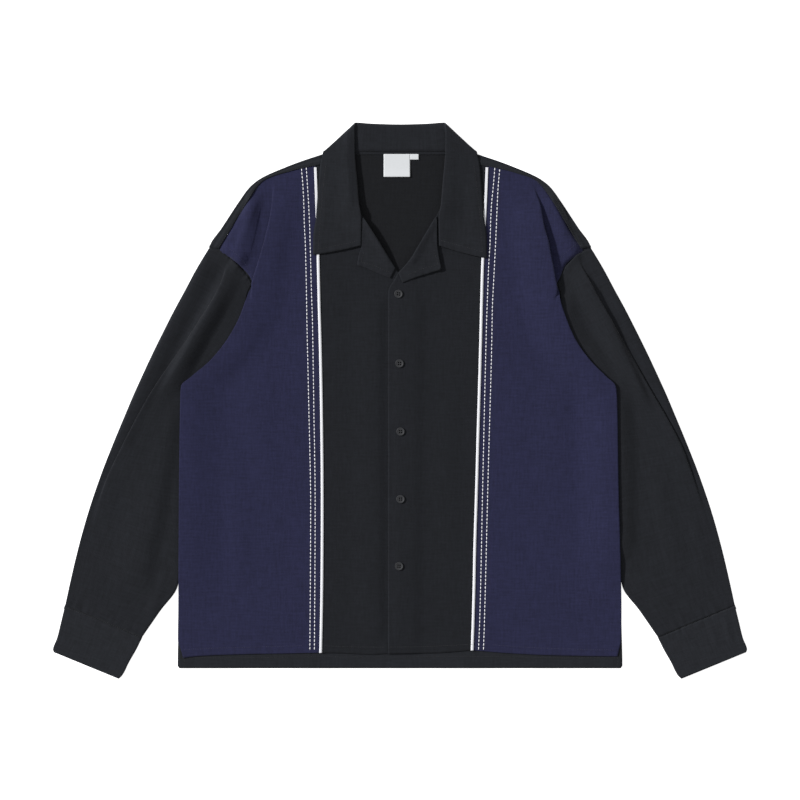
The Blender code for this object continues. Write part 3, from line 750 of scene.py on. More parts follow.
# The fronts' free shoulder and side edges stand up off the sleeves, the wearer's left one more
BODY_FORMS = (
    Crease(((193.2, 309.8), (197.3, 256), (205.6, 217.3), (211.1, 187), (216.7, 156.6), (222.2, 134.5),
            (229.1, 111.1), (241.5, 84.9), (262.2, 55.9), (282.9, 33.8), (298.1, 17.2), (300.8, -6.2),
            (303.6, -123.5), (305, -220.1), (305, -264.3)), 5.5, 46, 60, 0.16),
    Crease(((-189.1, 269.8), (-198.7, 221.5), (-207, 173.2), (-212.5, 138.7), (-226.3, 97.3),
            (-245.6, 66.9), (-276, 39.3), (-298.1, 21.4), (-300.8, -40.7), (-303.6, -164.9),
            (-305, -261.5)), 1.8, 50, 30, 0.1),
    # soft hollows and swellings of the laid fronts
    Crease(((-190.4, 97.3), (-196, 0.7), (-190.4, -95.9), (-184.9, -192.5)), 0.9, 30, 34, 0.4),
    Crease(((-231.8, -26.9), (-223.6, -137.3), (-220.8, -233.9), (-226.3, -302.9)), 0.8, 22, 26, 0.4),
    Crease(((204.2, 97.3), (215.3, 0.7), (209.8, -109.7), (204.2, -220.1)), 0.8, 34, 30, 0.4),
    Crease(((63.5, 111.1), (69, 0.7), (63.5, -109.7), (71.8, -247.7)), 0.7, 24, 24, 0.4),
    Crease(((-160.1, 290.5), (-165.6, 235.3), (-171.1, 166.3), (-173.9, 97.3)), 0.7, 22, 20, 0.4),
    Crease(((160.1, 290.5), (168.4, 235.3), (176.6, 166.3), (182.2, 97.3)), 0.7, 20, 22, 0.4),
    # both fronts swell beside the button edge, and dip along it
    Crease(((-31.7, 152.5), (-32.4, 0.7), (-31.7, -137.3), (-31.7, -337.4)), 1.9, 14, 42, 0.05),
    Crease(((0, 152.5), (0, 0.7), (0, -137.3), (0, -337.4)), 0.9, 42, 14, 0.05),
    # the rolls of collar and lapels
    Crease(((-58.6, 307), (-56.9, 269.8), (-49.1, 251.8), (-35.6, 230.5), (-19.3, 204.9), (-9.7, 189.7)),
            2, 4, 40, 0.42),
    Crease(((-52.4, 257.4), (-35.6, 230.5), (-16.3, 199.4), (0, 175.9)), 1.5, 4, 30, 0.2),
    Crease(((58.6, 301.5), (56.6, 269.8), (49.1, 251.8), (35.6, 230.5), (16.3, 199.4), (0.8, 175.9)),
            2.4, 40, 4, 0.3),
)

# The sleeves and the fronts' parts over their caps
ARM_FORMS = (
    # ridges that run down over the cap seams
    Crease(((-197.3, 296), (-205.6, 260.1), (-212.5, 232.5), (-220.8, 199.4), (-229.1, 171.8)),
            7, 12, 14, 0.25),
    Crease(((200.1, 298.8), (215.3, 267), (226.3, 238), (237.4, 207.7), (248.4, 187)), 5, 11, 20, 0.22),
    # the strips outside the long pleats slant down to them from the outer fold
    Crease(((-256.7, 211.8), (-270.5, 190.3), (-307.7, 122.1), (-345, 46.2), (-382.3, -37.9),
            (-397.4, -79.3)), 4.5, 27, 8, 0.12),
    Crease(((262.2, 200.8), (277.4, 175.9), (314.6, 106.9), (351.9, 28.3), (389.2, -58.6),
            (405.7, -106.9)), 1.5, 8, 22, 0.12),
    # wearer's right: the pleat's ridge, the hollow beside the body, and the long fold down to the cuff
    Crease(((-229.1, 196.6), (-248.4, 152.5), (-280.1, 94.5), (-310.5, 39.3), (-335.3, -4.8)),
            7.6, 24, 11, 0.35),
    Crease(((-314.6, 11.7), (-322.9, -26.9), (-331.2, -95.9), (-345, -171.8), (-357.4, -233.9),
            (-360.2, -283.6)), 3.8, 24, 60, 0.2),
    Crease(((-320.2, -220.1), (-331.2, -261.5), (-342.2, -296), (-350.5, -319.5)), 0.9, 9, 12, 0.35),
    Crease(((-394.7, -95.9), (-405.7, -164.9), (-416.8, -233.9), (-427.8, -282.2)), 0.7, 22, 22, 0.4),
    # wearer's left: a ridge beside the pleat, and the slope off the body's edge
    Crease(((245.6, 191.1), (265, 155.2), (284.3, 119.4), (303.6, 75.2), (325.7, 28.3), (347.8, -18.6)),
            4.5, 8, 27, 0.2),
    Crease(((215.3, 159.4), (226.3, 111.1), (238.7, 82.1), (259.4, 54.5), (281.5, 29.7), (295.3, 13.1),
            (299.5, -13.1), (302.2, -82.1), (303.6, -233.9)), 5.6, 28, 12, 0.1),
    Crease(((345, -40.7), (358.8, -123.5), (375.4, -206.3), (391.9, -275.3)), 1.3, 22, 20, 0.35),
    Crease(((400.2, -137.3), (416.8, -206.3), (430.6, -261.5)), 0.7, 12, 16, 0.4),
    # puckers where the seams draw the cloth in
    Puckers(((-460.9, -280.8), (-420.9, -294.6), (-383.6, -309.8), (-356, -322.2)), 0.35, 12, 22, 31),
    Puckers(((460.9, -280.8), (420.9, -296), (383.6, -311.2), (357.4, -325)), 0.5, 11, 24, 32),
    Puckers(((-256.7, 209.1), (-237.4, 198), (-219.4, 181.5), (-204.2, 160.8)), 0.4, 8, 12, 33),
    Puckers(((259.4, 214.6), (240.1, 200.8), (226.3, 187), (219.4, 169)), 0.4, 8, 12, 34),
)

CUFF_FORMS = (
    Puckers(((-460.9, -283.6), (-420.9, -297.4), (-383.6, -312.6), (-356, -325)), 0.35, 12, 16, 35),
    Puckers(((460.9, -283.6), (420.9, -298.8), (383.6, -313.9), (357.4, -327.8)), 0.5, 10, 18, 36),
    Crease(((444.4, -291.9), (452.6, -316.7), (459.5, -341.5)), 0.9, 7, 7, 0.3),
    Crease(((425, -300.1), (431.9, -322.2), (437.5, -344.3)), 0.6, 6, 7, 0.3),
)

COLLAR_FORMS = (
    # edges drawn in by their topstitching
    Puckers(((-118.7, 202.2), (-96.6, 204.9), (-73.1, 210.4), (-53.8, 214.6)), 0.3, 8, 9, 41),
    Puckers(((121.4, 196.6), (96.6, 203.5), (71.8, 209.1), (52.4, 214.6)), 0.3, 8, 9, 42),
    Puckers(((-106.3, 325), (-111.8, 276.7), (-117.3, 228.4)), 0.2, 11, 8, 43),
    Puckers(((106.3, 325), (113.2, 276.7), (120.1, 221.5)), 0.2, 11, 8, 44),
    Crease(((-96.6, 325), (-99.4, 276.7), (-103.5, 221.5)), 0.6, 12, 14, 0.4),
    Crease(((96.6, 325), (99.4, 276.7), (102.1, 221.5)), 0.6, 14, 12, 0.4),
    Crease(((-46.9, 359.5), (0, 355.3), (46.9, 359.5)), 0.5, 9, 9, 0.3),
)

# How much the wearer's right roll is pressed flat, as a share of its height
COLLAR_PRESSED = (Crease(((-60.9, 384.3), (-61.8, 342.9), (-58.9, 304.3), (-56.9, 260.1)),
0.42, 10, 13, 0.12),)

LAPEL_FORMS = (
    Puckers(((-55.2, 207.7), (-58.6, 188.4), (-41.4, 181.5), (-12.4, 170.4)), 0.3, 7, 7, 45),
    Puckers(((51.1, 213.2), (58, 185.6), (34.5, 175.9), (6.9, 162.1)), 0.3, 7, 7, 46),
)

# How far each lapel stands up from the front at its outer edge, section by section from the gorge to the tip
LAPEL_EDGE_RISE = {
    "right": (1.3, 1.6, 1.0, 0.8, 0.8, 0.8, 0.5, 0.2),
    "left": (1.3, 1.6, 1.6, 2.4, 2.8, 1.2, 0.6, 0.2),
}

# Rows of stitches, as (x, up) lines ------------------------------------------------------------------------

# pitch, and length, width and height of a stitch
WHITE_STITCH = 5.2, (4.4, 1.4, 0.8)
PLAIN_STITCH = 3.0, (2.1, 0.7, 0.3)


def with_mirror(line):
    """A line and its mirror image on the other side."""
    return line, tuple((-x, up) for x, up in line)


WHITE_ROWS = (
    ((-135.9, 320.8), (-133.9, 297.4), (-132.5, 269.8), (-131.8, 242.2), (-130.4, 214.6), (-129.7, 187),
     (-129, 152.5), (-128.3, 111.1), (-125.6, -13.1), (-123.1, -144.2), (-123.5, -247.7), (-124.2, -344.3)),
    ((-129.3, 322.2), (-127.6, 297.4), (-125.9, 269.8), (-124.6, 242.2), (-123.8, 214.6), (-122.8, 180.1),
     (-122.1, 152.5), (-120.7, 111.1), (-118.7, -13.1), (-116.9, -144.2), (-117.3, -247.7), (-118, -344.3)),
    ((131, 321.5), (128.3, 290.5), (126.3, 269.8), (125, 242.2), (124.2, 214.6), (122.8, 193.9),
     (121.4, 159.4), (120.1, 124.9), (119.2, 97.3), (114.5, -102.8), (110.1, -302.9), (108.3, -344.3)),
    ((137.7, 319.6), (135.2, 290.5), (133.9, 262.9), (132.5, 228.4), (130.8, 193.9), (129, 159.4),
     (127.4, 124.9), (127, 97.3), (121.7, -102.8), (116.6, -302.9), (115.2, -344.3)),
)

# Topstitching in the navy cloth's own colour: hems, and cap seams 8 mm in
NAVY_ROWS = (
    ((-298.1, -343.6), (-248.4, -341.3), (-193.2, -340), (-133.9, -338)),
    ((127, -336.9), (165.6, -339.9), (220.8, -342.4), (295.3, -344.3)),
    ((-245.6, 216), (-226.3, 202.2), (-212.5, 187), (-202.9, 170.4)),
    ((248.4, 220.1), (233.2, 207.7), (220.8, 195.3), (215.3, 182.8)),
)

# Topstitching in the dark cloth's own colour
BLACK_ROWS = (
    # hems of the fronts and of the back
    ((-107.6, -338), (-75.9, -339.6), (-22.1, -340.2)),
    ((-13.8, -339.9), (23.5, -339.6), (69, -337.7), (103.5, -336)),
    ((-300.8, -354.8), (-220.8, -354.8), (-110.4, -353.4), (0, -353.7), (110.4, -353.1), (220.8, -354.8),
     (300.8, -354.8)),
    # shoulder seams, on the back's strip
    *with_mirror(((115.9, 324.3), (138, 320.6), (161.5, 313.3), (182.2, 306.4), (194.6, 296), (208.4, 278.1),
                  (227.7, 246.3), (249.8, 211.8))),
    # cuff seams, on the cuff
    *with_mirror(((-461.6, -285.7), (-420.9, -300.1), (-385, -314.6), (-357.4, -327.1))),
    # collar and lapel edges, 6 mm in
    ((-102.1, 323.6), (-107.6, 276.7), (-112.5, 208.4), (-96.6, 211.8), (-75.9, 216), (-58, 220.1)),
    ((102.1, 323.6), (108.3, 276.7), (113.8, 204.9), (96.6, 209.8), (75.9, 215.3), (56.6, 220.8)),
    ((-49.7, 204.9), (-53.1, 191.8), (-38.6, 187), (-13.8, 176.6)),
    ((46.9, 207.7), (51.7, 189.1), (33.1, 182.2), (11, 173.2)),
    # bars at the tops of the side slits
    ((-297.5, -351.2), (-297.5, -365)),
    ((300.6, -351.2), (300.6, -365)),
)

STEP = 2.2                    # spacing of the fine grids
BACK_STEP = 3.6               # and of the back's, which hardly shows
CAP_FOLD = 142.0, 34.0        # how high the side front's fold over the cap begins, and over what it grows
PIPING_DOME = 0.55            # height of the piping's rounded face
PRESSED_ABOVE = 203.0         # the collar presses the piping flat from here up
LABEL_CURL = 0.9              # how far the label's lower edge stands up
SEAM_REACH = 0.4              # how far a tube's end moves out to close up to its neighbour
SEAM_DIP = 0.45               # how far a piece's seamed end lies down on the layer under it
ALLOWANCE = 5.5               # the turned-in edge of a seam, to either side of it


def settle(fine, forms, share=1.0):
    """The piece with the lie of the whole jacket, and with creases and puckers by share."""
    grid = fine.grid.copy()
    x, y = grid[..., 0], grid[..., 1]
    grid[..., 2] += lie(x, y) + relief(x, y, forms) * share
    return fine._replace(grid=grid)


def dress(made, node):
    """The finished piece takes a solid's place."""
    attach(made, "root")
    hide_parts(node)
    return made


def make_back():
    """The back, with the strips that fold over the shoulders to their seams on the front."""
    cage, first, last = back_cage()
    main = settle(drawn_finely(cage, BACK_STEP), ())
    fines = [main]
    near = np.flatnonzero(
        (main.along > main.marks_along[first] - 1e-6) & (main.along < main.marks_along[last] + 1e-6)
    )
    for side in SIDES:
        strip = through(main.marks_along[first : last + 1], np.array(shoulder_cage(side)), main.along[near])
        marks, across = places(strip.transpose(1, 0, 2), 3.0, 3)
        strip = through(marks, strip.transpose(1, 0, 2), across).transpose(1, 0, 2)
        fine = Fine(strip, across, main.along[near], marks, main.marks_along)
        share = smooth((strip[..., 2] - FLOOR - BEND) / BEND)
        fine = settle(fine, BODY_FORMS + ARM_FORMS, share)
        # the seamed end lies down on the front
        fine.grid[..., 2] -= SEAM_DIP * smooth((across - marks[3]) / (marks[-1] - marks[3]))
        fine.grid[:, 0] = main.grid[near, 0 if side == "right" else -1]
        fines.append(fine)
    return add_cloth("back_cloth", fines, black_cloth_inside_painted_neck_shade)


def make_side_front(side):
    """The front bulges up to its free edge, but not the part that is folded in under it."""
    fine = drawn_finely(side_front_cage(side), STEP)
    x, y = fine.grid[..., 0], fine.grid[..., 1]
    folded = np.array([row.step for row in SIDE_FRONT])
    folded = through(fine.marks_along, folded, fine.along)[:, None] * smooth((y - CAP_FOLD[0]) / CAP_FOLD[1])
    under = smooth((fine.across - fine.marks_across[7]) / (fine.marks_across[9] - fine.marks_across[7]))
    body = relief(x, y, BODY_FORMS) * (1.0 - folded * under[None, :])
    fine = settle(fine, ARM_FORMS, folded * under[None, :])
    fine.grid[..., 2] += body
    return add_cloth("side_front_cloth_" + side, [fine], navy_cloth)


def make_centre_front(side):
    fine = drawn_finely(centre_front_cage(side), STEP)
    return add_cloth("centre_front_cloth_" + side, [settle(fine, BODY_FORMS)], black_cloth)


def make_piping(side):
    """A folded white strip, domed except where the collar presses it flat."""
    fine = settle(drawn_finely(piping_cage(side), 0.6), BODY_FORMS)
    middle = fine.across[-1] / 2
    dome = 1.0 - ((fine.across - middle) / middle) ** 2
    fine.grid[..., 2] += PIPING_DOME * dome * smooth((PRESSED_ABOVE - fine.grid[..., 1]) / 12.0) - GAP
    return add_cloth("piping_tape_" + side, [fine], piping_cotton, wall=0.5, uv_on_plan=False)


def reach_out(fine, both=False):
    """A tube that closes up to its neighbours: its first or both end sections moved outwards."""
    grid = fine.grid.copy()
    for end, before in ((0, 1), (-1, -2))[: 1 + both]:
        run = grid[end] - grid[before]
        grid[end] += run / np.linalg.norm(run, axis=-1)[:, None] * SEAM_REACH
    return fine._replace(grid=grid)


def allowance(line, inner=ALLOWANCE, outer=ALLOWANCE):
    """The turned-in edges of a seam, between the layers that it joins."""
    points, _ = dense(line, 5.0)
    runs = np.gradient(points, axis=0)
    runs /= np.linalg.norm(runs, axis=1)[:, None]
    aside = np.stack([-runs[:, 1], runs[:, 0]], axis=1)
    level = np.full((len(points), 1), FLOOR + BEND)
    cage = [np.hstack([points + aside * away, level]) for away in (-inner, 0.0, outer)]
    return settle(drawn_finely(np.stack(cage, axis=1), 4.0), ())


def make_sleeve(side):
    """A flattened tube, with the turned-in edges of the seams at its two ends."""
    fine = drawn_finely([sleeve_ring(side, row) for row in SLEEVE], STEP)
    top = smooth((fine.grid[..., 2] - FLOOR - BEND * 0.8) / BEND)
    fines = [reach_out(settle(fine, ARM_FORMS, top), both=True)]
    armhole = [(getattr(row, "inner_" + side) + 1.0, row.inner_up) for row in SLEEVE[8:0:-1]] + cap_seam(side)
    # the allowance stops short of the cap's corner
    armhole[-1] = mix(armhole[-2][0], armhole[-1][0], 0.93), mix(armhole[-2][1], armhole[-1][1], 0.93)
    last = SLEEVE[-1]
    inner = getattr(last, "inner_" + side)
    shares = (0.0, 0.3, 0.7, 1.0)
    cuff_end = [(mix(inner, last.outer_out, t), mix(last.inner_up, last.outer_up, t)) for t in shares]
    for line in (armhole, cuff_end):
        fines.append(allowance([(SIDES[side] * out, up) for out, up in line]))
    return add_cloth("sleeve_cloth_" + side, fines, black_cloth_sleeve, uv_on_plan=False)


def make_cuff(side):
    fine = drawn_finely(cuff_cage(side), STEP)
    fine = settle(fine, CUFF_FORMS, smooth((fine.grid[..., 2] - FLOOR - BEND * 0.8) / BEND))
    fine = reach_out(fine)
    return add_cloth("cuff_cloth_" + side, [fine], black_cloth_paler, uv_on_plan=False)


def make_collar():
    """The collar, with the turned-in edge of its neck seam."""
    fine = drawn_finely(collar_cage(), STEP)
    shape = relief(fine.grid[..., 0], fine.grid[..., 1], BODY_FORMS)
    pressed = 1.0 - relief(fine.grid[..., 0], fine.grid[..., 1], COLLAR_PRESSED)
    fine.grid[..., 2] = ON_BACK + (fine.grid[..., 2] - ON_BACK) * pressed
    edge = smooth((fine.across - fine.across[-1] + 9.0) / 9.0)
    fine = settle(fine, COLLAR_FORMS, smooth((fine.grid[..., 2] - ON_FRONT) / 1.2))
    fine.grid[..., 2] += shape - SEAM_DIP * edge[None, :]
    neck = allowance([(-66.0, 343.0), (-30.0, 343.0), (30.0, 343.0), (66.0, 343.0)], 4.0, 7.0)
    return add_cloth("collar_cloth", [fine, neck], black_cloth_collar, uv_on_plan=False)


def make_facing(side):
    """The turned-out lapel: flush with the collar along the gorge, and springing off the front below it."""
    fine = drawn_finely(facing_cage(side), 1.6)
    fine = settle(fine, BODY_FORMS + LAPEL_FORMS)
    rise = through(fine.marks_along, np.array(LAPEL_EDGE_RISE[side], float), fine.along)
    share = fine.across / fine.across[-1]
    fine.grid[..., 2] += rise[:, None] * share[None, :] ** 1.3
    fine = reach_out(fine)
    return add_cloth("lapel_cloth_" + side, [fine], black_cloth_collar)


def make_label(name, x0, x1, y0, y1):
    """A label sewn on at its top, with its lower edge standing a little proud."""
    z = WALL + GAP + LABEL_WALL / 2
    fine = settle(drawn_finely([[(x, y, z) for x in (x0, x1)] for y in (y0, y1)], 1.2), ())
    curl = LABEL_CURL * smooth((y1 - y0) / 25.0)
    fine.grid[..., 2] += curl * smooth((y0 + 16.0 - fine.grid[..., 1]) / 16.0) ** 2
    return add_cloth(name, [fine], label_satin, wall=0.4)


# Half of a button's section, as (distance from the middle, z): a flat dish, the rim round it, and the foot
BUTTON_OUTLINE = (
    (0, 1.2), (3.2, 1.2), (3.8, 1.26), (4.3, 1.42), (4.7, 1.58), (5, 1.64), (5.25, 1.6), (5.42, 1.47),
    (5.5, 1.25), (5.5, 0.7), (5.35, 0.35), (5, 0.1), (4, 0), (0, 0),
)
BUTTON_GAP = 0.15             # air between a button and the cloth
HOLE_OUT, HOLE_RADIUS = 1.95, 1.1


def make_button(name, x, up):
    """A four-hole button: a rim round a flat dish, and thread in its holes, near-black as painted shade for
    the holes' depth.
    """
    place = np.array([x]), np.array([up])
    low = ON_FRONT + CLOTH / 2 + BUTTON_GAP + float((lie(*place) + relief(*place, BODY_FORMS))[0])
    grown = BUTTON_WIDTH / 2 / max(out for out, _ in BUTTON_OUTLINE)
    bm = bmesh.new()
    line = [bm.verts.new((out * grown * MM, 0.0, z * MM)) for out, z in BUTTON_OUTLINE]
    edges = [bm.edges.new(pair) for pair in zip(line[:-1], line[1:])]
    bmesh.ops.spin(
        bm, geom=line + edges, cent=(0, 0, 0), axis=(0, 0, 1), angle=2 * math.pi, steps=32, use_merge=True
    )
    bmesh.ops.remove_doubles(bm, verts=bm.verts, dist=3e-6)
    bmesh.ops.recalc_face_normals(bm, faces=bm.faces)
    for turn in (45, 135, 225, 315):
        # the thread that fills a hole, flush with the dish; its near-black colour is partly painted shade for
        # the hole's depth
        place = Matrix.Rotation(math.radians(turn), 4, "Z")
        place = place @ Matrix.Translation((HOLE_OUT * MM, 0.0, 0.98 * MM))
        wide, narrow = HOLE_RADIUS * MM, (HOLE_RADIUS - 0.08) * MM
        plug = bmesh.ops.create_cone(
            bm, cap_ends=True, segments=10, radius1=wide, radius2=narrow, depth=0.5 * MM, matrix=place
        )
        for face in {face for vert in plug["verts"] for face in vert.link_faces}:
            face.material_index = 1
    lean = math.radians(x * 3)
    bmesh.ops.rotate(bm, verts=bm.verts, cent=(0, 0, 0), matrix=Matrix.Rotation(lean, 3, "Z"))
    bmesh.ops.translate(bm, verts=bm.verts, vec=(x * MM, up * MM, low * MM))
    made = add_piece(name + "_four_hole", bm, button_polyester)
    made.data.materials.append(button_hole_thread_and_shade)
    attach(made, "root")
    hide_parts(name)


# Sewing -------------------------------------------------------------------------------------------------


def height_over(trees, x, y):
    """The top of the pieces at a place, in millimetres."""
    hits = [tree.ray_cast(Vector((x * MM, y * MM, 0.1)), Vector((0, 0, -1)))[0] for tree in trees]
    return max([hit.z / MM for hit in hits if hit is not None], default=None)


def sew(name, lines, pitch, size, pieces, material, slot):
    """Stitches a pitch apart along lines on the pieces, each a low bead of thread; size is its x, y and z."""
    graph = bpy.context.evaluated_depsgraph_get()
    trees = [BVHTree.FromObject(piece, graph) for piece in pieces]
    long, wide, high = size
    bm = bmesh.new()
    for line in lines:
        points, marks = dense(line, 2.0)
        count = max(1, int(marks[-1] / pitch))
        at = (np.arange(count) + 0.5) * marks[-1] / count
        middles = through(marks, points, at)
        ends = [through(marks, points, np.clip(at + shift, 0, marks[-1])) for shift in (-long / 2, long / 2)]
        for middle, start, end in zip(middles, *ends):
            heights = [height_over(trees, *place) for place in (middle, start, end)]
            if None in heights or max(heights) - min(heights) > 2.5:
                continue
            run = Vector((end[0] - start[0], end[1] - start[1], heights[2] - heights[1]))
            turn = run.to_track_quat("X", "Z").to_matrix().to_4x4()
            place = Matrix.Translation(Vector((middle[0], middle[1], sum(heights) / 3 + high * 0.2)) * MM)
            bead = Matrix.Diagonal((long / 2 * MM, wide / 2 * MM, high / 2 * MM, 1.0))
            bmesh.ops.create_uvsphere(bm, u_segments=6, v_segments=4, radius=1.0, matrix=place @ turn @ bead)
    made = add_piece(name, bm, material)
    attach(made, "root")
    return made


# Materials ----------------------------------------------------------------------------------------------


def linear(hex_colour, tone=1.0):
    """A colour written in sRGB, as the light that it stands for, times tone."""
    parts = [int(hex_colour[i : i + 2], 16) / 255 for i in (1, 3, 5)]
    parts = [c / 12.92 if c <= 0.04045 else ((c + 0.055) / 1.055) ** 2.4 for c in parts]
    return [part * tone for part in parts] + [1.0]


def fill(tree, node, inputs):
    """Each of the node's inputs named here takes a value or another node's output."""
    for name, value in inputs.items():
        if isinstance(value, bpy.types.NodeSocket):
            tree.links.new(value, node.inputs[name])
        else:
            node.inputs[name].default_value = value


def add_node(tree, kind, inputs, output=0, **settings):
    """A node with its settings and inputs; gives one of its outputs."""
    node = tree.nodes.new("ShaderNode" + kind)
    for name, value in settings.items():
        setattr(node, name, value)
    fill(tree, node, inputs)
    return node.outputs[output]


def ramp(tree, share, dark, light):
    """Colours from dark to light, by share."""
    node = tree.nodes.new("ShaderNodeValToRGB")
    tree.links.new(share, node.inputs[0])
    node.color_ramp.elements[0].color, node.color_ramp.elements[1].color = dark, light
    return node.outputs[0]


def new_material(name):
    made = bpy.data.materials.new(name)
    made.use_nodes = True
    return made, made.node_tree, made.node_tree.nodes["Principled BSDF"]


BAND = 0.314                  # what a wave texture at scale 1 repeats at, metres


def woven(name, colour, neck_shade=1.0):
    """Cotton and linen plain weave: matt, with thicker slub threads that run both ways and a faint bloom.

    Below one, the last argument darkens the colour inside the neck opening: painted shade where the collar
    shades the back.
    """
    made, tree, shader = new_material(name)
    cloth = add_node(tree, "UVMap", {}, uv_map="UVMap")
    # slubs: 1.4 mm thick and 8 to 30 mm long, as in the real cloth
    slubs = []
    for stretch in ((360.0, 45.0, 1.0), (45.0, 380.0, 1.0)):
        placed = add_node(tree, "Mapping", {"Vector": cloth, "Scale": stretch})
        slubs.append(
            add_node(tree, "TexNoise", {"Vector": placed, "Scale": 1.0, "Detail": 2.0, "Roughness": 0.6})
        )
    # threads: the real ones are 0.35 mm apart, too fine to show, so they are drawn 1.3 mm apart
    wave = {"Vector": cloth, "Scale": BAND / 0.0013, "Distortion": 0.6, "Detail": 1.0, "Detail Scale": 2.0}
    threads = [add_node(tree, "TexWave", wave, "Fac", bands_direction=direction) for direction in "XY"]
    weave = add_node(tree, "Math", {0: threads[0], 1: threads[1]}, operation="MULTIPLY")
    # fuzz: clumps of loose fibre a millimetre or two across, and paler washed patches of a hand's breadth
    fuzz = add_node(tree, "TexNoise", {"Vector": cloth, "Scale": 330.0, "Detail": 3.0})
    wash = add_node(tree, "TexNoise", {"Vector": cloth, "Scale": 11.0, "Detail": 4.0})
    total = slubs[0]
    for part, weight in ((slubs[1], 1.0), (weave, 0.2), (fuzz, 0.6), (wash, 0.25)):
        total = add_node(tree, "Math", {0: part, 1: weight, 2: total}, operation="MULTIPLY_ADD")
    share = add_node(tree, "MapRange", {"Value": total, "From Min": 1.05, "From Max": 2.0}, clamp=True)
    shade = ramp(tree, share, linear(colour, 0.72), linear(colour, 1.32))
    if neck_shade < 1.0:
        # painted shade: the colour darkens upwards from 50 to 150 mm and stays dark within 66 mm of the
        # middle, inside the neck opening
        place = add_node(tree, "TexCoord", {}, "Object")
        across, up = [add_node(tree, "SeparateXYZ", {"Vector": place}, axis) for axis in "XY"]
        out = add_node(tree, "Math", {0: across}, operation="ABSOLUTE")
        below = {"Value": up, "From Min": 0.05, "From Max": 0.15, "To Min": 1.0, "To Max": neck_shade}
        beside = {"Value": out, "From Min": 0.066, "From Max": 0.075, "To Min": neck_shade, "To Max": 1.0}
        tones = [add_node(tree, "MapRange", values, clamp=True) for values in (below, beside)]
        tone = add_node(tree, "Math", {0: tones[0], 1: tones[1]}, operation="MAXIMUM")
        grey = add_node(tree, "CombineXYZ", {"X": tone, "Y": tone, "Z": tone})
        shade = add_node(tree, "VectorMath", {0: shade, 1: grey}, operation="MULTIPLY")
    height = add_node(tree, "Math", {0: weave, 1: 0.5, 2: total}, operation="MULTIPLY_ADD")
    fill(tree, shader, {
        "Base Color": shade,
        "Normal": add_node(tree, "Bump", {"Height": height, "Strength": 0.35, "Distance": 0.0004}),
        "Roughness": 0.92,
        "Specular IOR Level": 0.2,
        "Sheen Weight": 0.08,
        "Sheen Roughness": 0.5,
    })
    return made


SHARE_OUTPUT = {"Noise": 0, "Wave": "Fac"}


def patterned(name, kind, texture, colours, values, bump=None, turn=0, on="Object", **settings):
    """A material with one texture, which leads from its dark to its light colour.

    Its roughness follows the texture too if two are given, and bump is a strength and a depth in metres.
    """
    made, tree, shader = new_material(name)
    place = add_node(tree, "TexCoord", {}, on)
    if turn:
        place = add_node(tree, "Mapping", {"Vector": place, "Rotation": (0, 0, math.radians(turn))})
    share = add_node(tree, "Tex" + kind, {"Vector": place, **texture}, SHARE_OUTPUT[kind], **settings)
    inputs = {"Base Color": ramp(tree, share, *map(linear, colours)), **values}
    if isinstance(values["Roughness"], tuple):
        low, high = values["Roughness"]
        inputs["Roughness"] = add_node(tree, "MapRange", {"Value": share, "To Min": low, "To Max": high})
    if bump:
        inputs["Normal"] = add_node(tree, "Bump", {"Height": share, "Strength": bump[0], "Distance": bump[1]})
    fill(tree, shader, inputs)
    return made


def thread(name, dark, light, roughness, gloss=0.5):
    """Spun polyester sewing thread: two plies, 0.5 mm a twist, that catch a little light along it."""
    values = {"Roughness": roughness, "Specular IOR Level": gloss, "Sheen Weight": 0.2 * gloss}
    return patterned(name, "Wave", {"Scale": BAND / 0.0005}, (dark, light), values, turn=38)


# one dark and one navy cloth; the dark back, collar, sleeves and cuffs are coloured a little paler than the
# fronts
black_cloth = woven("black_cotton_linen", "#181A1F")
# the back's inside: painted shade darkens it to half inside the neck opening, under the collar
black_cloth_inside_painted_neck_shade = woven("black_cotton_linen_inside_painted_neck_shade", "#1E2025", 0.5)
black_cloth_paler = woven("black_cotton_linen_paler", "#1F2126")
black_cloth_collar = woven("black_cotton_linen_collar", "#1C1E23")
black_cloth_sleeve = woven("black_cotton_linen_sleeve", "#1B1D22")
navy_cloth = woven("navy_cotton_linen", "#232440")
white_thread = thread("white_topstitch_thread", "#E6E6EE", "#FFFFFF", 0.6)
black_thread = thread("black_topstitch_thread", "#111215", "#222328", 0.9)
# the thread in the button holes, near-black and without gloss: the thread's colour darkened further as
# painted shade for the holes' depth
button_hole_thread_and_shade = thread("black_thread_and_painted_shade_in_button_holes", "#050506", "#0B0B0C", 1.0, 0.0)
navy_thread = thread("navy_topstitch_thread", "#1A1933", "#302F52", 0.9)
# bleached cotton strip cut on the bias: matt white, with a fine slanting weave
piping_cotton = patterned(
    "bleached_bias_cotton", "Wave", {"Scale": BAND / 0.0011, "Distortion": 0.8, "Detail": 1.0},
    ("#DCDDE2", "#F6F6FA"), {"Roughness": 0.85, "Specular IOR Level": 0.3},
    bump=(0.3, 0.0002), turn=45, on="UV",
)
# woven polyester, white, smooth and slightly glossy; its level weft lines are 0.15 mm apart, drawn 1 mm apart
label_satin = patterned(
    "woven_polyester_label", "Wave", {"Scale": BAND / 0.001, "Distortion": 0.3}, ("#D4D7DA", "#E2E4E6"),
    {"Roughness": 0.55, "Sheen Weight": 0.1}, bump=(0.2, 0.0001), bands_direction="Y",
)
# cast polyester, dark grey and satin, with a faint cloudiness from tumbling
button_polyester = patterned(
    "cast_polyester_button", "Noise", {"Scale": 350.0, "Detail": 3.0}, ("#222326", "#2F3034"),
    {"Roughness": (0.5, 0.62), "IOR": 1.54, "Specular IOR Level": 0.4},
)
# matt white paper sweep, with the faintest mottle
studio_floor = patterned(
    "white_paper_sweep", "Noise", {"Scale": 6.0}, ("#F6F6F6", "#F9F9F9"),
    {
        "Roughness": 0.95, "Specular IOR Level": 0.1,
        "Emission Color": (1.0, 1.0, 1.0, 1.0), "Emission Strength": 0.75,
    },
)

# The whole jacket --------------------------------------------------------------------------------------


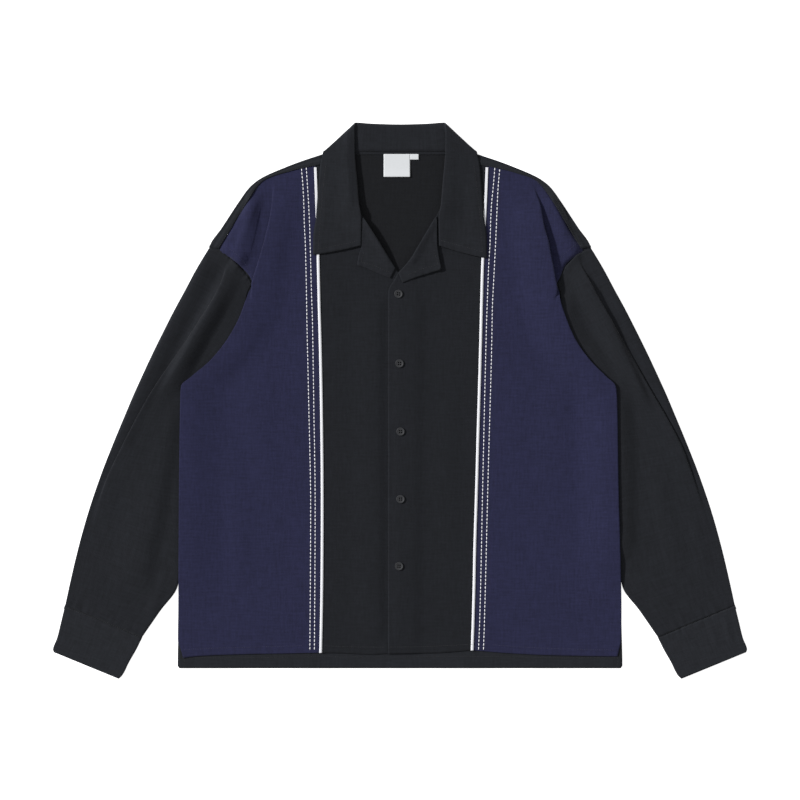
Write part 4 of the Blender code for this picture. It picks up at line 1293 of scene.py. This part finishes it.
def make_jacket():
    pieces = {"back": dress(make_back(), "back")}
    for side in SIDES:
        under = {
            "side_front_": (make_side_front, "navy_cloth", ["back"]),
            "centre_front_": (make_centre_front, "black_cloth", ["back"]),
            "piping_": (make_piping, "white_piping", ["side_front_" + side]),
            "sleeve_": (make_sleeve, "black_cloth", ["floor"]),
            "cuff_": (make_cuff, "black_cloth", ["floor"]),
            "facing_": (make_facing, "black_cloth", ["centre_front_" + side]),
        }
        for part, (make, slot, below) in under.items():
            pieces[part + side] = dress(make(side), part + side)
    pieces["collar"] = dress(make_collar(), "collar")
    label = make_label("woven_label", LABEL_LEFT, LABEL_RIGHT, LABEL_LOW, LABEL_HIGH)
    pieces["label"] = dress(label, "label")
    tab = make_label("woven_size_tab", LABEL_RIGHT + GAP, TAB_RIGHT, TAB_LOW, LABEL_HIGH)
    pieces["size_tab"] = dress(tab, "size_tab")
    for number, (x, up) in enumerate(BUTTONS, 1):
        make_button("button_" + str(number), x, up)
    return pieces


def sew_all(pieces):
    fronts = [pieces[part + side] for part in ("side_front_", "centre_front_", "piping_") for side in SIDES]
    sew("white_topstitch", WHITE_ROWS, *WHITE_STITCH, fronts, white_thread, "white_piping")
    sew("navy_topstitch", NAVY_ROWS, *PLAIN_STITCH, fronts, navy_thread, "navy_cloth")
    cloths = [pieces[name] for name in pieces if name not in ("label", "size_tab")]
    sew("black_topstitch", BLACK_ROWS, *PLAIN_STITCH, cloths, black_thread, "black_cloth")


def set_stage():
    """A white floor, a soft dome of light, a low key light from the left, and a camera straight above."""
    bm = bmesh.new()
    bmesh.ops.create_grid(bm, x_segments=8, y_segments=8, size=4.0)
    floor = add_piece("floor", bm, studio_floor)
    sky = bpy.data.worlds.new("white_dome")
    sky.use_nodes = True
    sky.node_tree.nodes["Background"].inputs["Color"].default_value = (1.0, 1.0, 1.0, 1.0)
    sky.node_tree.nodes["Background"].inputs["Strength"].default_value = DOME
    bpy.context.scene.world = sky
    key = bpy.data.lights.new("key", "SUN")
    key.energy = KEY
    key.angle = math.radians(5.0)
    lamp = bpy.data.objects.new("key", key)
    lamp.rotation_mode = "QUATERNION"
    lamp.rotation_quaternion = Vector(TOWARDS_KEY).to_track_quat("Z", "Y")
    bpy.context.scene.collection.objects.link(lamp)
    lens = bpy.data.cameras.new("straight_down")
    lens.sensor_width = SENSOR
    lens.lens = SENSOR * DISTANCE / SEEN_WIDTH
    lens.clip_end = 100.0
    camera = bpy.data.objects.new("straight_down", lens)
    camera.location = (0.0, HALF_PIXEL, DISTANCE)
    bpy.context.scene.collection.objects.link(camera)
    bpy.context.scene.camera = camera
    bpy.context.scene.view_settings.view_transform = "Standard"


DISTANCE = 5.0                # the camera's height over the floor, metres
SEEN_WIDTH = 1.104            # how much of the floor it sees, metres
HALF_PIXEL = 0.00069          # the photo's middle lies this far above the jacket's, metres
SENSOR = 36.0                 # millimetres
DOME = 0.46
KEY = 3.55
TOWARDS_KEY = (-0.76, 0.30, 0.46)

jacket = make_jacket()
sew_all(jacket)
set_stage()
